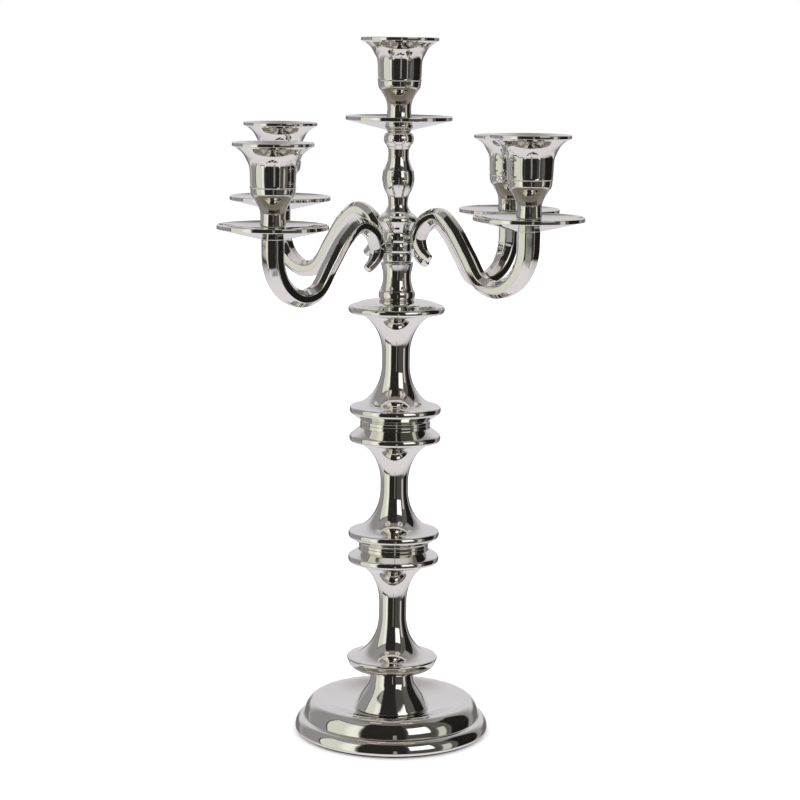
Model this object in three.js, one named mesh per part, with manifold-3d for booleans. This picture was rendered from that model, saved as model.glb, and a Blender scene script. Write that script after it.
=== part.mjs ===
// Five-light tabletop candelabra: a foot, a pillar of turned sections clamped by one tie rod, two crossed
// double arms stacked on a spigot, and five drip pans, each held down by a screwed-on candle cup.
// Millimetres, +Z up, origin on the table under the pillar's axis. The arms lie on the diagonals.

import * as THREE from 'three';
import { mergeVertices } from 'three/addons/utils/BufferGeometryUtils.js';
import Module from 'manifold-3d';

const wasm = await Module();
wasm.setup();

// ---- Driving dimensions ----

// Overall layout
const ARM_REACH = 104; // pillar axis to the axis of an outer candle
const ARM_DIAGONAL = 45; // degrees from +X to the first double arm
const CANDLE_BORE_RADIUS = 11.1; // takes a standard 22 mm dinner candle

// Foot
const FOOT_RADIUS = 60.5; // widest part of the skirt
const FOOT_ROUND = 2; // the skirt's bulge past the rim it stands on
const FOOT_CREASE_INSET = 5.1; // widest part in to the crease between skirt and shoulder
const FOOT_CREASE_STEP = 0.6; // shoulder's setback from the skirt at the crease
const FOOT_CREASE_DEPTH = 0.4; // skirt's top below the shoulder's foot
const FOOT_SHOULDER_WIDTH = 8.9; // crease in to the plateau
const FOOT_SEAT_HEIGHT = 15; // table to the seat of the pedestal cone
const FOOT_CREASE_HEIGHT = 10.4;
const FOOT_BULGE_HEIGHT = 3.4; // level of the widest part of the skirt
const FOOT_DISH_DEPTH = 6.2; // shoulder's top down to the cone's seat
const FOOT_RIM_WIDTH = 6.5;
const FOOT_WALL = 3;
const FOOT_BOSS_DEPTH = 4.6; // thickness of metal that the tie rod pulls on
const FOOT_BOSS_MARGIN = 2; // boss past the washer, and its taper
const FELT_THICKNESS = 1.2;
const FELT_WIDTH = 5;

// Pillar sections
const CONE_HEIGHT = 23.8;
const CONE_FOOT_RADIUS = 23.3;
const CONE_FOOT_EDGE = 0.9; // rounding of the cone's foot
const CONE_TOP_RADIUS = 13.4;
const SHAFT_RADIUS = 8.6; // waist of every turned section
const FLANGE_RADIUS = 28.3;
const FLANGE_ROUND = 1.1; // width of a flange's rounded edge
const FLANGE_EDGE = 2.1; // half the thickness of a flange's rounded edge
const FLARE_RISE = 26; // height of the quarter ellipse from waist to flange
const FLARE_OVERRUN = 0.9; // the same quarter ellipse's full width past the flange
const BAND_STEP = 6.6; // flange's edge in to the plain band where two sections meet
const BAND_HALF = 2.1; // each section's share of that band
const SAUCER_DEPTH = 8.2; // saucer's edge down to its seat
const SAUCER_SEAT_STEP = 1.8; // saucer's seat past the cone's top
const TRUMPET_CUT = 1; // upper trumpet ends this far short of a whole flange
const TRUMPET_FLARE = 0.72; // share of the flare's width that the upper trumpet reaches
const LOWER_WAIST = 64; // flange edge to flange edge
const MIDDLE_WAIST = 60.7;
const UPPER_WAIST = 59.4; // flange edge to the seat of the cap disc
const LOWER_COLLAR = 15.4; // flange edge to flange edge across the lower band
const UPPER_COLLAR = 17.4; // the same across the upper band
const DISC_RADIUS = 29.7;
const DISC_HEIGHT = 8.2;
const DISC_EDGE = 2.6; // seat to the widest part of the disc
const DISC_SEAT_INSET = 4; // disc's edge in to its seat
const DISC_ROUND = 2; // width of the disc's rounded edge
const NECK_HEIGHT = 29;
const NECK_RADIUS = 8.85;
const NECK_FOOT_RADIUS = 11.2;
const NECK_FOOT_HALF = 3.2; // half the height of the ring at the neck's foot
const NECK_RING_HEIGHT = 5.6;
const RING_ROUND = 0.5; // bulge of the neck's ring
const COLLAR_ROUND = 0.7; // bulge of an arm's collar
const RING_WALL = 3.38; // metal round the spigot in the collars, and the same radius for ring and seat
const BALUSTER_HEIGHT = 61.6;
const BALUSTER_BELLY = 9.8;
const BALUSTER_CAP_STEP = 3.4; // cap's edge past its seat
const BALUSTER_NECK_WALL = 2.55; // metal round the tie rod at the baluster's neck
const BALUSTER_TOP_WALL = 4.48; // metal round the stud at the baluster's top

// Arms
const COLLAR_HEIGHT = 6.2; // one double arm's collar
const ARM_END_RISE = 10.7; // collar's middle up to the arm's end face
const ARM_DROP = 25.4; // collar's middle down to the lowest point of the arm's centre line
const ARM_ARCH = 14.8; // collar's middle up to the arch of the centre line
const ARM_HALF = 5; // half thickness at the arch
const ARM_END_HALF = 6.6; // half thickness at the arm's end
const ARM_TIP_HALF = 3.2; // half thickness at the scroll's tip
const ARM_SCROLL_HALF = 6.2; // half thickness where the scroll passes the collar
const SCROLL_GAP = 2.3; // ring's edge out to the scroll's inner side
const SCROLL_DEPTH = 10; // collar's middle down to the scroll's tip
const ARM_FOOT_WIDTH = 21.5; // arm's end in to the lowest point of its centre line
const WEB_WIDTH = 7;
const WEB_INSET = 0.4; // web's faces in from the collar's

// Pans and cups
const PAN_RADIUS = 32.4;
const PAN_DEPTH = 8.2;
const PAN_FLOOR = 2.5; // metal under the cup
const PAN_RIM = 2.6; // height of the rim's band
const PAN_LIP = 2.4; // width of the rim's rounded top
const PAN_BEND = 0.62; // share of the radius where the dish turns up
const PAN_SEAT_WALL = 6.28; // pan's seat past the stud's hole
const CUP_STEM_WALL = 4.08; // metal round the stud in the cup's stem
const CUP_WALL = 2.7; // metal round the candle in the bowl
const CUP_FLARE_WIDTH = 9.85; // bowl's side out to the rim
const CUP_STEM_HEIGHT = 22.3; // foot to the underside of the bowl
const CUP_BOWL_HEIGHT = 19; // straight part of the bowl, up to the flare
const CUP_FLARE_HEIGHT = 11.2;
const CUP_RIM_THICKNESS = 2.4;
const CUP_PANELS = 8;
const CUP_PANEL_DEPTH = 0.6;
const CUP_PANEL_SHARE = 0.2; // half a panel's width, as a share of the pitch
const CUP_PANEL_FOOT = 6.5; // bowl's underside up to the panels
const CUP_PANEL_HEAD = 1; // panels' tops down from the flare
const CANDLE_SOCKET_DEPTH = 23.5;

// Rod, studs and clearances
const ROD_RADIUS = 3; // M6
const ROD_CLEARANCE = 0.25;
const ROD_NUT_WALL = 2; // nut's flats out from the rod
const ROD_NUT_HEIGHT = 5;
const ROD_TAIL = 2; // rod showing below its nut
const ROD_GRIP = 23; // rod screwed up into the baluster
const WASHER_WIDTH = 5; // washer's edge out from the rod
const WASHER_THICKNESS = 1.5;
const STUD_RADIUS = 3; // M6
const STUD_CLEARANCE = 0.12;
const STUD_IN_ARM = 9;
const STUD_IN_CUP = 8; // thread that the cup screws off
const STUD_END_GAP = 1; // stud's end to the bottom of its hole
const SPIGOT_WALL = 2.15; // metal round the rod in the spigot that the arm collars turn on
const SPIGOT_CLEARANCE = 0.12;
const SEAT_GAP = 0.1; // between stacked faces

// Smoothness
const TURNED_SIDES = 24;
const FOOT_SIDES = 32;
const SMALL_SIDES = 24;
const ROD_SIDES = 16;
const ARM_STEPS = 25;

// ---- Levels, worked out from the floor up ----

const footBase = FELT_THICKNESS + SEAT_GAP;
const coneBase = FOOT_SEAT_HEIGHT + SEAT_GAP;
const lowerBase = coneBase + CONE_HEIGHT + SEAT_GAP;
const lowerTop = lowerBase + SAUCER_DEPTH + LOWER_WAIST + LOWER_COLLAR / 2;
const middleBase = lowerTop + SEAT_GAP;
const middleTop = middleBase + LOWER_COLLAR / 2 + MIDDLE_WAIST + UPPER_COLLAR / 2;
const upperBase = middleTop + SEAT_GAP;
const upperTop = upperBase + UPPER_COLLAR / 2 + UPPER_WAIST;
const discBase = upperTop + SEAT_GAP;
const neckBase = discBase + DISC_HEIGHT + SEAT_GAP;
const neckTop = neckBase + NECK_HEIGHT;
const lowerCollarBase = neckTop + SEAT_GAP;
const upperCollarBase = lowerCollarBase + COLLAR_HEIGHT + SEAT_GAP;
const balusterBase = upperCollarBase + COLLAR_HEIGHT + SEAT_GAP;
const balusterTop = balusterBase + BALUSTER_HEIGHT;

// ---- Radii that follow from what fits inside or beside them ----

const rodBore = ROD_RADIUS + ROD_CLEARANCE;
const washerRadius = ROD_RADIUS + WASHER_WIDTH;
const studBore = STUD_RADIUS + STUD_CLEARANCE;
const spigotRadius = rodBore + SPIGOT_WALL;
const spigotBore = spigotRadius + SPIGOT_CLEARANCE;
const ringRadius = spigotBore + RING_WALL; // neck's ring, arm collars and baluster seat
const rimRadius = FOOT_RADIUS - FOOT_ROUND;
const creaseRadius = FOOT_RADIUS - FOOT_CREASE_INSET;
const shoulderRadius = creaseRadius - FOOT_SHOULDER_WIDTH;
const flareSpread = FLANGE_RADIUS - SHAFT_RADIUS + FLARE_OVERRUN;
const bandRadius = FLANGE_RADIUS - BAND_STEP;
const saucerSeat = CONE_TOP_RADIUS + SAUCER_SEAT_STEP;
const balusterTopRadius = studBore + BALUSTER_TOP_WALL;
const panSeatRadius = studBore + PAN_SEAT_WALL;
const cupStemRadius = studBore + CUP_STEM_WALL;
const cupBowlRadius = CANDLE_BORE_RADIUS + CUP_WALL;
const cupRimRadius = cupBowlRadius + CUP_FLARE_WIDTH;
const bossBottom = FOOT_SEAT_HEIGHT - FOOT_BOSS_DEPTH;
const washerBase = bossBottom - SEAT_GAP - WASHER_THICKNESS;
const nutBase = washerBase - SEAT_GAP - ROD_NUT_HEIGHT;

// ---- Geometry helpers ----

/** Points on part of an ellipse centred at (r, z), from one angle to another in degrees. */
function arc(r, z, radiusR, radiusZ, from, to, steps) {
  const points = [];
  for (let i = 0; i <= steps; i++) {
    const angle = THREE.MathUtils.degToRad(from + ((to - from) * i) / steps);
    points.push([r + radiusR * Math.cos(angle), z + radiusZ * Math.sin(angle)]);
  }
  return points;
}

/** Points on a smooth curve through the given [r, z] points. */
function smooth(points, steps) {
  const curve = new THREE.CatmullRomCurve3(points.map(([r, z]) => new THREE.Vector3(r, z, 0)));
  return curve.getPoints(steps).map((p) => [p.x, p.y]);
}

/** A turned solid about +Z from [r, z] points: up the outside, then down the inside. */
function turned(outline, sides) {
  const geometry = new THREE.LatheGeometry(outline.map(([r, z]) => new THREE.Vector2(r, z)), sides);
  return geometry.rotateX(Math.PI / 2);
}

/** A turned ring: the outline closes on itself. */
function turnedRing(outline, sides) {
  return turned([...outline, outline[0]], sides);
}

/** A box between two corners. */
function block(low, high) {
  const size = high.map((value, i) => value - low[i]);
  const geometry = new THREE.BoxGeometry(...size);
  return geometry.translate(...low.map((value, i) => value + size[i] / 2));
}

/** A geometry as a manifold solid. */
function toSolid(geometry) {
  const bare = geometry.clone();
  bare.deleteAttribute('normal');
  bare.deleteAttribute('uv');
  const merged = mergeVertices(bare);
  const mesh = new wasm.Mesh({
    numProp: 3,
    vertProperties: new Float32Array(merged.attributes.position.array),
    triVerts: new Uint32Array(merged.index.array),
  });
  return new wasm.Manifold(mesh);
}

/** A manifold solid as a geometry. */
function fromSolid(solid) {
  const mesh = solid.getMesh();
  const geometry = new THREE.BufferGeometry();
  geometry.setAttribute('position', new THREE.BufferAttribute(new Float32Array(mesh.vertProperties), 3));
  geometry.setIndex(new THREE.BufferAttribute(new Uint32Array(mesh.triVerts), 1));
  geometry.computeVertexNormals();
  return geometry;
}

// ---- Materials ----

/** Bright nickel plate over the castings. */
function nickel() {
  return new THREE.MeshStandardMaterial({ color: 0xc9c4bd, roughness: 0.06, metalness: 1 });
}

/** Plain steel of the rod, studs, nut and washer. */
function steel() {
  return new THREE.MeshStandardMaterial({ color: 0x9a9a9c, roughness: 0.35, metalness: 1 });
}

/** Felt under the foot. */
function felt() {
  return new THREE.MeshStandardMaterial({ color: 0x2b2b2d, roughness: 0.95, metalness: 0 });
}

const candelabra = new THREE.Group();

/** Adds one named piece to a group. */
function addPiece(parent, name, geometry, material) {
  const mesh = new THREE.Mesh(geometry, material);
  mesh.name = name;
  parent.add(mesh);
  return mesh;
}

// ---- Foot ----

/** Felt ring glued under the foot's rim. */
function feltRing() {
  const inner = rimRadius - (FOOT_RIM_WIDTH + FELT_WIDTH) / 2;
  const outer = inner + FELT_WIDTH;
  return turnedRing([[inner, 0], [outer, 0], [outer, FELT_THICKNESS], [inner, FELT_THICKNESS]], FOOT_SIDES);
}

/** Hollow foot: rounded skirt, crease, convex shoulder, shallow dish, and a boss for the tie rod. */
function foot() {
  const hollow = rimRadius - FOOT_RIM_WIDTH;
  const skirtRise = FOOT_CREASE_HEIGHT - FOOT_CREASE_DEPTH - FOOT_BULGE_HEIGHT;
  const shoulderTop = FOOT_SEAT_HEIGHT + FOOT_DISH_DEPTH;
  const shoulderRise = shoulderTop - FOOT_CREASE_HEIGHT;
  const shoulderWidth = FOOT_SHOULDER_WIDTH - FOOT_CREASE_STEP;
  const seat = CONE_FOOT_RADIUS + 1;
  const boss = washerRadius + FOOT_BOSS_MARGIN;
  const skirt = [
    ...arc(rimRadius, FOOT_BULGE_HEIGHT, FOOT_ROUND, FOOT_BULGE_HEIGHT - footBase, -90, 0, 2),
    ...arc(creaseRadius, FOOT_BULGE_HEIGHT, FOOT_CREASE_INSET, skirtRise, 22, 88, 3),
  ];
  const shoulder = arc(shoulderRadius, FOOT_CREASE_HEIGHT, shoulderWidth, shoulderRise, 0, 80, 4);
  const middle = (shoulderRadius + seat) / 2;
  const dish = smooth(
    [
      [shoulderRadius - 1.6, shoulderTop - 0.2],
      [middle, FOOT_SEAT_HEIGHT + 0.42 * FOOT_DISH_DEPTH],
      [seat, FOOT_SEAT_HEIGHT],
    ],
    3,
  );
  const outside = [...skirt, ...shoulder, ...dish];
  const inside = [
    [rodBore, FOOT_SEAT_HEIGHT],
    [rodBore, bossBottom],
    [boss, bossBottom],
    [boss + FOOT_BOSS_MARGIN, FOOT_SEAT_HEIGHT - FOOT_WALL - 0.4],
    [seat, FOOT_SEAT_HEIGHT - FOOT_WALL - 0.2],
    [shoulderRadius - 5, shoulderTop - FOOT_WALL - 0.8],
    [shoulderRadius - 1, shoulderTop - FOOT_WALL - 1.2],
    [hollow - 2, FOOT_CREASE_HEIGHT - 1],
    [hollow, footBase],
  ];
  return turnedRing([...outside, ...inside], FOOT_SIDES);
}

/** Flat ring with a hole for the tie rod. */
function washer() {
  const top = washerBase + WASHER_THICKNESS;
  const outline = [[rodBore, washerBase], [washerRadius, washerBase], [washerRadius, top], [rodBore, top]];
  return turnedRing(outline, SMALL_SIDES);
}

/** Hexagon nut on the tie rod. */
function rodNut() {
  const corner = (ROD_RADIUS + ROD_NUT_WALL) / Math.cos(Math.PI / 6);
  const hexagon = new THREE.Shape(
    Array.from({ length: 6 }, (_, i) => {
      const angle = (i * Math.PI) / 3;
      return new THREE.Vector2(corner * Math.cos(angle), corner * Math.sin(angle));
    }),
  );
  hexagon.holes.push(new THREE.Path().absarc(0, 0, ROD_RADIUS + SEAT_GAP, 0, 2 * Math.PI, true));
  const options = { depth: ROD_NUT_HEIGHT, bevelEnabled: false, curveSegments: SMALL_SIDES / 2 };
  return new THREE.ExtrudeGeometry(hexagon, options).translate(0, 0, nutBase);
}

/** Threaded rod that draws the whole pillar together. */
function tieRod() {
  const bottom = nutBase - ROD_TAIL;
  const top = balusterBase + ROD_GRIP;
  const outline = [[0, bottom], [ROD_RADIUS, bottom], [ROD_RADIUS, top], [0, top]];
  return turned(outline, ROD_SIDES);
}

// ---- Pillar sections, each with its base at z = 0 ----

/** Bell between the foot and the saucer: rounded foot, sloping side, upright throat. */
function pedestalCone() {
  const spread = CONE_FOOT_RADIUS - CONE_TOP_RADIUS;
  const side = [
    [1, 0.055],
    [0.91, 0.12],
    [0.77, 0.22],
    [0.61, 0.33],
    [0.41, 0.45],
    [0.22, 0.57],
    [0.06, 0.69],
    [0, 0.83],
  ];
  const outline = [
    [rodBore, 0],
    [CONE_FOOT_RADIUS - CONE_FOOT_EDGE, 0],
    [CONE_FOOT_RADIUS - 0.2, CONE_FOOT_EDGE / 2],
    ...side.map(([out, up]) => [CONE_TOP_RADIUS + spread * out, CONE_HEIGHT * up]),
    [CONE_TOP_RADIUS, CONE_HEIGHT],
    [rodBore, CONE_HEIGHT],
  ];
  return turnedRing(outline, TURNED_SIDES);
}

/** Rounded edge of a flange, centred on its widest level, from its lower side to its upper. */
function flangeEdge(level) {
  return arc(FLANGE_RADIUS - FLANGE_ROUND, level, FLANGE_ROUND, FLANGE_EDGE, -64, 64, 2);
}

/** Waist between two flanges: a quarter ellipse up from the lower one and one down from the upper one. */
function waist(low, high) {
  const start = low + FLANGE_EDGE;
  const end = high - FLANGE_EDGE;
  const centre = SHAFT_RADIUS + flareSpread;
  return [
    ...arc(centre, start + FLARE_RISE, flareSpread, FLARE_RISE, 263, 180, 5),
    ...arc(centre, end - FLARE_RISE, flareSpread, FLARE_RISE, 180, 97, 5),
  ];
}

/** Lower section: saucer, waist, and a flange with its share of the band. */
function lowerSpool() {
  const saucer = SAUCER_DEPTH;
  const flange = saucer + LOWER_WAIST;
  const top = flange + LOWER_COLLAR / 2;
  const depth = saucer - FLANGE_EDGE;
  const width = FLANGE_RADIUS - saucerSeat - 0.9;
  const edge = FLANGE_EDGE / 2;
  const outline = [
    [rodBore, 0],
    [saucerSeat, 0],
    ...arc(saucerSeat, depth, width, depth, -62, -14, 3),
    ...arc(FLANGE_RADIUS - FLANGE_ROUND, saucer, FLANGE_ROUND, edge, -30, 64, 2),
    ...waist(saucer - edge, flange),
    ...flangeEdge(flange),
    [bandRadius, top - BAND_HALF],
    [bandRadius, top],
    [rodBore, top],
  ];
  return turnedRing(outline, TURNED_SIDES);
}

/** Middle section: a flange and half a band at each end of the waist. */
function middleSpool() {
  const lower = LOWER_COLLAR / 2;
  const upper = lower + MIDDLE_WAIST;
  const top = upper + UPPER_COLLAR / 2;
  const outline = [
    [rodBore, 0],
    [bandRadius, 0],
    [bandRadius, BAND_HALF],
    ...flangeEdge(lower),
    ...waist(lower, upper),
    ...flangeEdge(upper),
    [bandRadius, top - BAND_HALF],
    [bandRadius, top],
    [rodBore, top],
  ];
  return turnedRing(outline, TURNED_SIDES);
}

/** Upper section: half a band and a flange below, and a trumpet that carries the cap disc above. */
function upperSpool() {
  const lower = UPPER_COLLAR / 2;
  const top = lower + UPPER_WAIST;
  const rise = waist(lower, top + FLANGE_EDGE + TRUMPET_CUT).filter(([, z]) => z < top);
  const outline = [
    [rodBore, 0],
    [bandRadius, 0],
    [bandRadius, BAND_HALF],
    ...flangeEdge(lower),
    ...rise,
    [SHAFT_RADIUS + flareSpread * TRUMPET_FLARE, top],
    [rodBore, top],
  ];
  return turnedRing(outline, TURNED_SIDES);
}

/** Domed disc over the upper section. */
function capDisc() {
  const dome = DISC_HEIGHT - DISC_EDGE;
  const domeRadius = DISC_RADIUS - NECK_FOOT_RADIUS - DISC_ROUND / 2;
  const outline = [
    [rodBore, 0],
    [DISC_RADIUS - DISC_SEAT_INSET, 0],
    ...arc(DISC_RADIUS - DISC_ROUND, DISC_EDGE, DISC_ROUND, DISC_EDGE - 0.2, -70, 50, 3),
    ...arc(NECK_FOOT_RADIUS, DISC_EDGE, domeRadius, dome, 34, 84, 4),
    [rodBore, DISC_HEIGHT],
  ];
  return turnedRing(outline, TURNED_SIDES);
}

/** Neck with its foot ring and top ring, and the spigot that the arm collars turn on. */
function branchNeck() {
  const ringBase = NECK_HEIGHT - NECK_RING_HEIGHT;
  const ringMiddle = NECK_HEIGHT - NECK_RING_HEIGHT / 2;
  const ringSide = ringRadius - RING_ROUND;
  const spigotTop = NECK_HEIGHT + 2 * (COLLAR_HEIGHT + SEAT_GAP);
  const outline = [
    [rodBore, 0],
    [NECK_FOOT_RADIUS - 0.6, 0],
    ...arc(NECK_FOOT_RADIUS - 1, NECK_FOOT_HALF, 1, NECK_FOOT_HALF - 0.4, -60, 70, 3),
    [NECK_RADIUS + 0.8, 2 * NECK_FOOT_HALF + 1],
    [NECK_RADIUS, 2 * NECK_FOOT_HALF + 4.1],
    [NECK_RADIUS, ringBase - 4.9],
    [NECK_RADIUS + 1.1, ringBase - 0.9],
    [NECK_RADIUS + 0.8, ringBase - 0.3],
    [ringSide, ringBase],
    ...arc(ringSide, ringMiddle, RING_ROUND, NECK_RING_HEIGHT / 2 - 0.2, -60, 60, 3),
    [ringSide, NECK_HEIGHT],
    [spigotRadius, NECK_HEIGHT],
    [spigotRadius, spigotTop],
    [rodBore, spigotTop],
  ];
  return turnedRing(outline, SMALL_SIDES);
}

/** Baluster that screws down on the arm collars: cap, neck, vase, neck and bead, with a stud hole on top. */
function baluster() {
  const top = BALUSTER_HEIGHT;
  const belly = BALUSTER_BELLY;
  const cap = ringRadius + BALUSTER_CAP_STEP;
  const neck = rodBore + BALUSTER_NECK_WALL;
  const head = balusterTopRadius;
  const rodTop = ROD_GRIP + STUD_END_GAP;
  const studFloor = top - STUD_IN_ARM - STUD_END_GAP;
  const vase = [
    [neck, 17.6],
    [neck + 0.6, 21.6],
    [belly - 1.2, 26.2],
    [belly, 31.6],
    [belly - 0.5, 37],
  ];
  const throat = [
    [belly - 1.6, 38.8],
    [neck + 0.7, top - 18],
    [neck + 0.5, top - 12],
  ];
  const outline = [
    [0, rodTop],
    [rodBore, rodTop],
    [rodBore, 0],
    [ringRadius, 0],
    [ringRadius + 0.3, 1.6],
    [cap - 0.7, 5.2],
    [cap, 7],
    [cap - 0.4, 9],
    [neck + 0.8, 14.6],
    ...smooth(vase, 5),
    ...smooth(throat, 3),
    [head - 0.6, top - 10.4],
    ...arc(head, top - 5.4, 1.5, 3.4, -70, 70, 3),
    [head - 0.8, top - 1],
    [head, top],
    [studBore, top],
    [studBore, studFloor],
    [0, studFloor],
  ];
  return turned(outline, SMALL_SIDES);
}

// ---- Double arm, lying along X with its collar's middle at the origin ----

/** Centre line of one arm, from the tip of its scroll over the arch, down and out, and up to its end. */
function armPath() {
  const low = -ARM_DROP;
  const scroll = ringRadius + SCROLL_GAP + ARM_SCROLL_HALF;
  const shoulder = [scroll + 28.2, ARM_ARCH - 7.8];
  const shin = [ARM_REACH - ARM_FOOT_WIDTH - 13.5, low + 2.8];
  const points = [
    [scroll + 11.6, -SCROLL_DEPTH],
    [scroll + 4, -SCROLL_DEPTH + 1.8],
    [scroll, 0],
    [scroll + 5.2, ARM_ARCH - 4.6],
    [scroll + 16.6, ARM_ARCH],
    shoulder,
    [(shoulder[0] + shin[0]) / 2, (shoulder[1] + shin[1]) / 2],
    shin,
    [ARM_REACH - ARM_FOOT_WIDTH, low],
    [ARM_REACH - 7.6, low + 7.6],
    [ARM_REACH - 0.8, -5],
    [ARM_REACH, ARM_END_RISE - 4],
    [ARM_REACH, ARM_END_RISE + 4],
  ];
  return new THREE.CatmullRomCurve3(points.map(([s, z]) => new THREE.Vector3(s, 0, z)));
}

/** Half thickness of the arm at a fraction of its length. */
function armHalfThickness(fraction) {
  const tip = 1 - THREE.MathUtils.smoothstep(fraction, 0, 0.08);
  const scroll = 1 - THREE.MathUtils.smoothstep(fraction, 0.12, 0.24);
  const end = THREE.MathUtils.smoothstep(fraction, 0.6, 0.95);
  const middle = ARM_HALF + (ARM_SCROLL_HALF - ARM_HALF) * scroll + (ARM_END_HALF - ARM_HALF) * end;
  return middle - (ARM_SCROLL_HALF - ARM_TIP_HALF) * tip;
}

/** One arm: an eight-sided bar swept along the centre line and tapered, cut level at its end. */
function armBar() {
  const path = armPath();
  const corner = 1 / Math.cos(Math.PI / 8);
  const section = new THREE.Shape(
    Array.from({ length: 8 }, (_, i) => {
      const angle = ((i + 0.5) * Math.PI) / 4;
      return new THREE.Vector2(corner * Math.cos(angle), corner * Math.sin(angle));
    }),
  );
  const geometry = new THREE.ExtrudeGeometry(section, { steps: ARM_STEPS, extrudePath: path, bevelEnabled: false });
  const rings = path.getSpacedPoints(ARM_STEPS);
  const position = geometry.attributes.position;
  const point = new THREE.Vector3();
  for (let i = 0; i < position.count; i++) {
    point.fromBufferAttribute(position, i);
    const distances = rings.map((centre) => centre.distanceTo(point));
    const ring = distances.indexOf(Math.min(...distances));
    point.sub(rings[ring]).multiplyScalar(armHalfThickness(ring / ARM_STEPS)).add(rings[ring]);
    position.setXYZ(i, point.x, point.y, point.z);
  }
  const room = 3 * ARM_END_HALF; // enough to hold the whole end of the bar
  const above = block(
    [ARM_REACH - room, -room, ARM_END_RISE],
    [ARM_REACH + room, room, ARM_END_RISE + room],
  );
  return toSolid(geometry).subtract(toSolid(above));
}

/** Collar with an arm each way, bored for the spigot and for the studs. */
function doubleArm() {
  const half = COLLAR_HEIGHT / 2;
  const side = ringRadius - COLLAR_ROUND;
  const collar = turned(
    [
      [0, -half],
      [side, -half],
      ...arc(side, 0, COLLAR_ROUND, half - WEB_INSET, -60, 60, 3),
      [side, half],
      [0, half],
    ],
    SMALL_SIDES,
  );
  const webLength = ringRadius + SCROLL_GAP + 0.6 * ARM_SCROLL_HALF;
  const web = block(
    [-webLength, -WEB_WIDTH / 2, -half + WEB_INSET],
    [webLength, WEB_WIDTH / 2, half - WEB_INSET],
  );
  const bar = armBar();
  const spigotHole = turned(
    [[0, -COLLAR_HEIGHT], [spigotBore, -COLLAR_HEIGHT], [spigotBore, COLLAR_HEIGHT], [0, COLLAR_HEIGHT]],
    SMALL_SIDES,
  );
  const holeFloor = ARM_END_RISE - STUD_IN_ARM - STUD_END_GAP;
  const studHole = turned(
    [[0, holeFloor], [studBore, holeFloor], [studBore, ARM_END_RISE + 1], [0, ARM_END_RISE + 1]],
    ROD_SIDES,
  ).translate(ARM_REACH, 0, 0);
  const oneSide = bar.subtract(toSolid(studHole));
  const otherSide = oneSide.rotate([0, 0, 180]);
  return fromSolid(
    toSolid(collar).add(toSolid(web)).add(oneSide).add(otherSide).subtract(toSolid(spigotHole)),
  );
}

// ---- Pan, cup and stud, each with its seat at z = 0 ----

/** Shallow dish with an upright rim, seated on an arm's end and holed for the stud. */
function dripPan() {
  const rimBase = PAN_DEPTH - PAN_RIM;
  const outline = [
    [studBore, 0],
    [panSeatRadius, 0],
    [PAN_RADIUS * PAN_BEND, 3],
    [PAN_RADIUS, rimBase],
    [PAN_RADIUS, PAN_DEPTH - 0.5],
    [PAN_RADIUS - 0.9, PAN_DEPTH],
    [PAN_RADIUS - PAN_LIP, PAN_DEPTH - 1],
    [PAN_RADIUS * PAN_BEND, PAN_FLOOR + 2.2],
    [cupStemRadius + PAN_LIP, PAN_FLOOR],
    [studBore, PAN_FLOOR],
  ];
  return turnedRing(outline, SMALL_SIDES);
}

/** Radius of the bowl where a panel is pressed into it. */
function panelDip(angle, level) {
  const pitch = (2 * Math.PI) / CUP_PANELS;
  const across = Math.abs(((((angle / pitch + 0.5) % 1) + 1) % 1) - 0.5);
  const foot = CUP_STEM_HEIGHT + CUP_PANEL_FOOT;
  const head = CUP_STEM_HEIGHT + CUP_BOWL_HEIGHT - CUP_PANEL_HEAD;
  const within = level > foot && level < head && across < CUP_PANEL_SHARE;
  return within ? CUP_PANEL_DEPTH : 0;
}

/** Candle cup: stem with a blind stud hole, bowl with pressed panels, flared rim, and the candle's socket. */
function candleCup() {
  const bowlBase = CUP_STEM_HEIGHT;
  const flareBase = bowlBase + CUP_BOWL_HEIGHT;
  const rimBase = flareBase + CUP_FLARE_HEIGHT - CUP_RIM_THICKNESS;
  const top = flareBase + CUP_FLARE_HEIGHT;
  const socketFloor = top - CANDLE_SOCKET_DEPTH;
  const studTop = STUD_IN_CUP + STUD_END_GAP;
  const bowl = cupBowlRadius;
  const outline = [
    [0, studTop],
    [studBore, studTop],
    [studBore, 0],
    [cupStemRadius, 0],
    [cupStemRadius, 12.5],
    [cupStemRadius + 1.3, 17.6],
    [bowl - 2.1, bowlBase],
    [bowl - 1.1, bowlBase + 4.4],
    [bowl - 0.4, bowlBase + 6],
    [bowl - 0.1, bowlBase + 8],
    [bowl + 0.3, flareBase - 3.5],
    [bowl + 1.2, flareBase],
    [bowl + 3.6, flareBase + 4.6],
    [cupRimRadius - 2.4, rimBase - 0.8],
    [cupRimRadius, rimBase + 0.5],
    [cupRimRadius, top - 0.4],
    [cupRimRadius - 2, top],
    [CANDLE_BORE_RADIUS + 4.4, rimBase - 1.2],
    [CANDLE_BORE_RADIUS + 0.8, flareBase + 1.8],
    [CANDLE_BORE_RADIUS, flareBase - 2],
    [CANDLE_BORE_RADIUS, socketFloor],
    [0, socketFloor],
  ];
  const geometry = turned(outline, SMALL_SIDES);
  const position = geometry.attributes.position;
  for (let i = 0; i < position.count; i++) {
    const x = position.getX(i);
    const y = position.getY(i);
    const radius = Math.hypot(x, y);
    if (radius > CANDLE_BORE_RADIUS + 1) {
      const scale = (radius - panelDip(Math.atan2(x, -y), position.getZ(i))) / radius;
      position.setXY(i, x * scale, y * scale);
    }
  }
  return geometry;
}

/** Double-ended stud through the pan, level 0 at the pan's seat. */
function cupStud() {
  const bottom = -STUD_IN_ARM;
  const top = PAN_FLOOR + SEAT_GAP + STUD_IN_CUP;
  return turned([[0, bottom], [STUD_RADIUS, bottom], [STUD_RADIUS, top], [0, top]], ROD_SIDES);
}

// ---- Assembly ----

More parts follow.
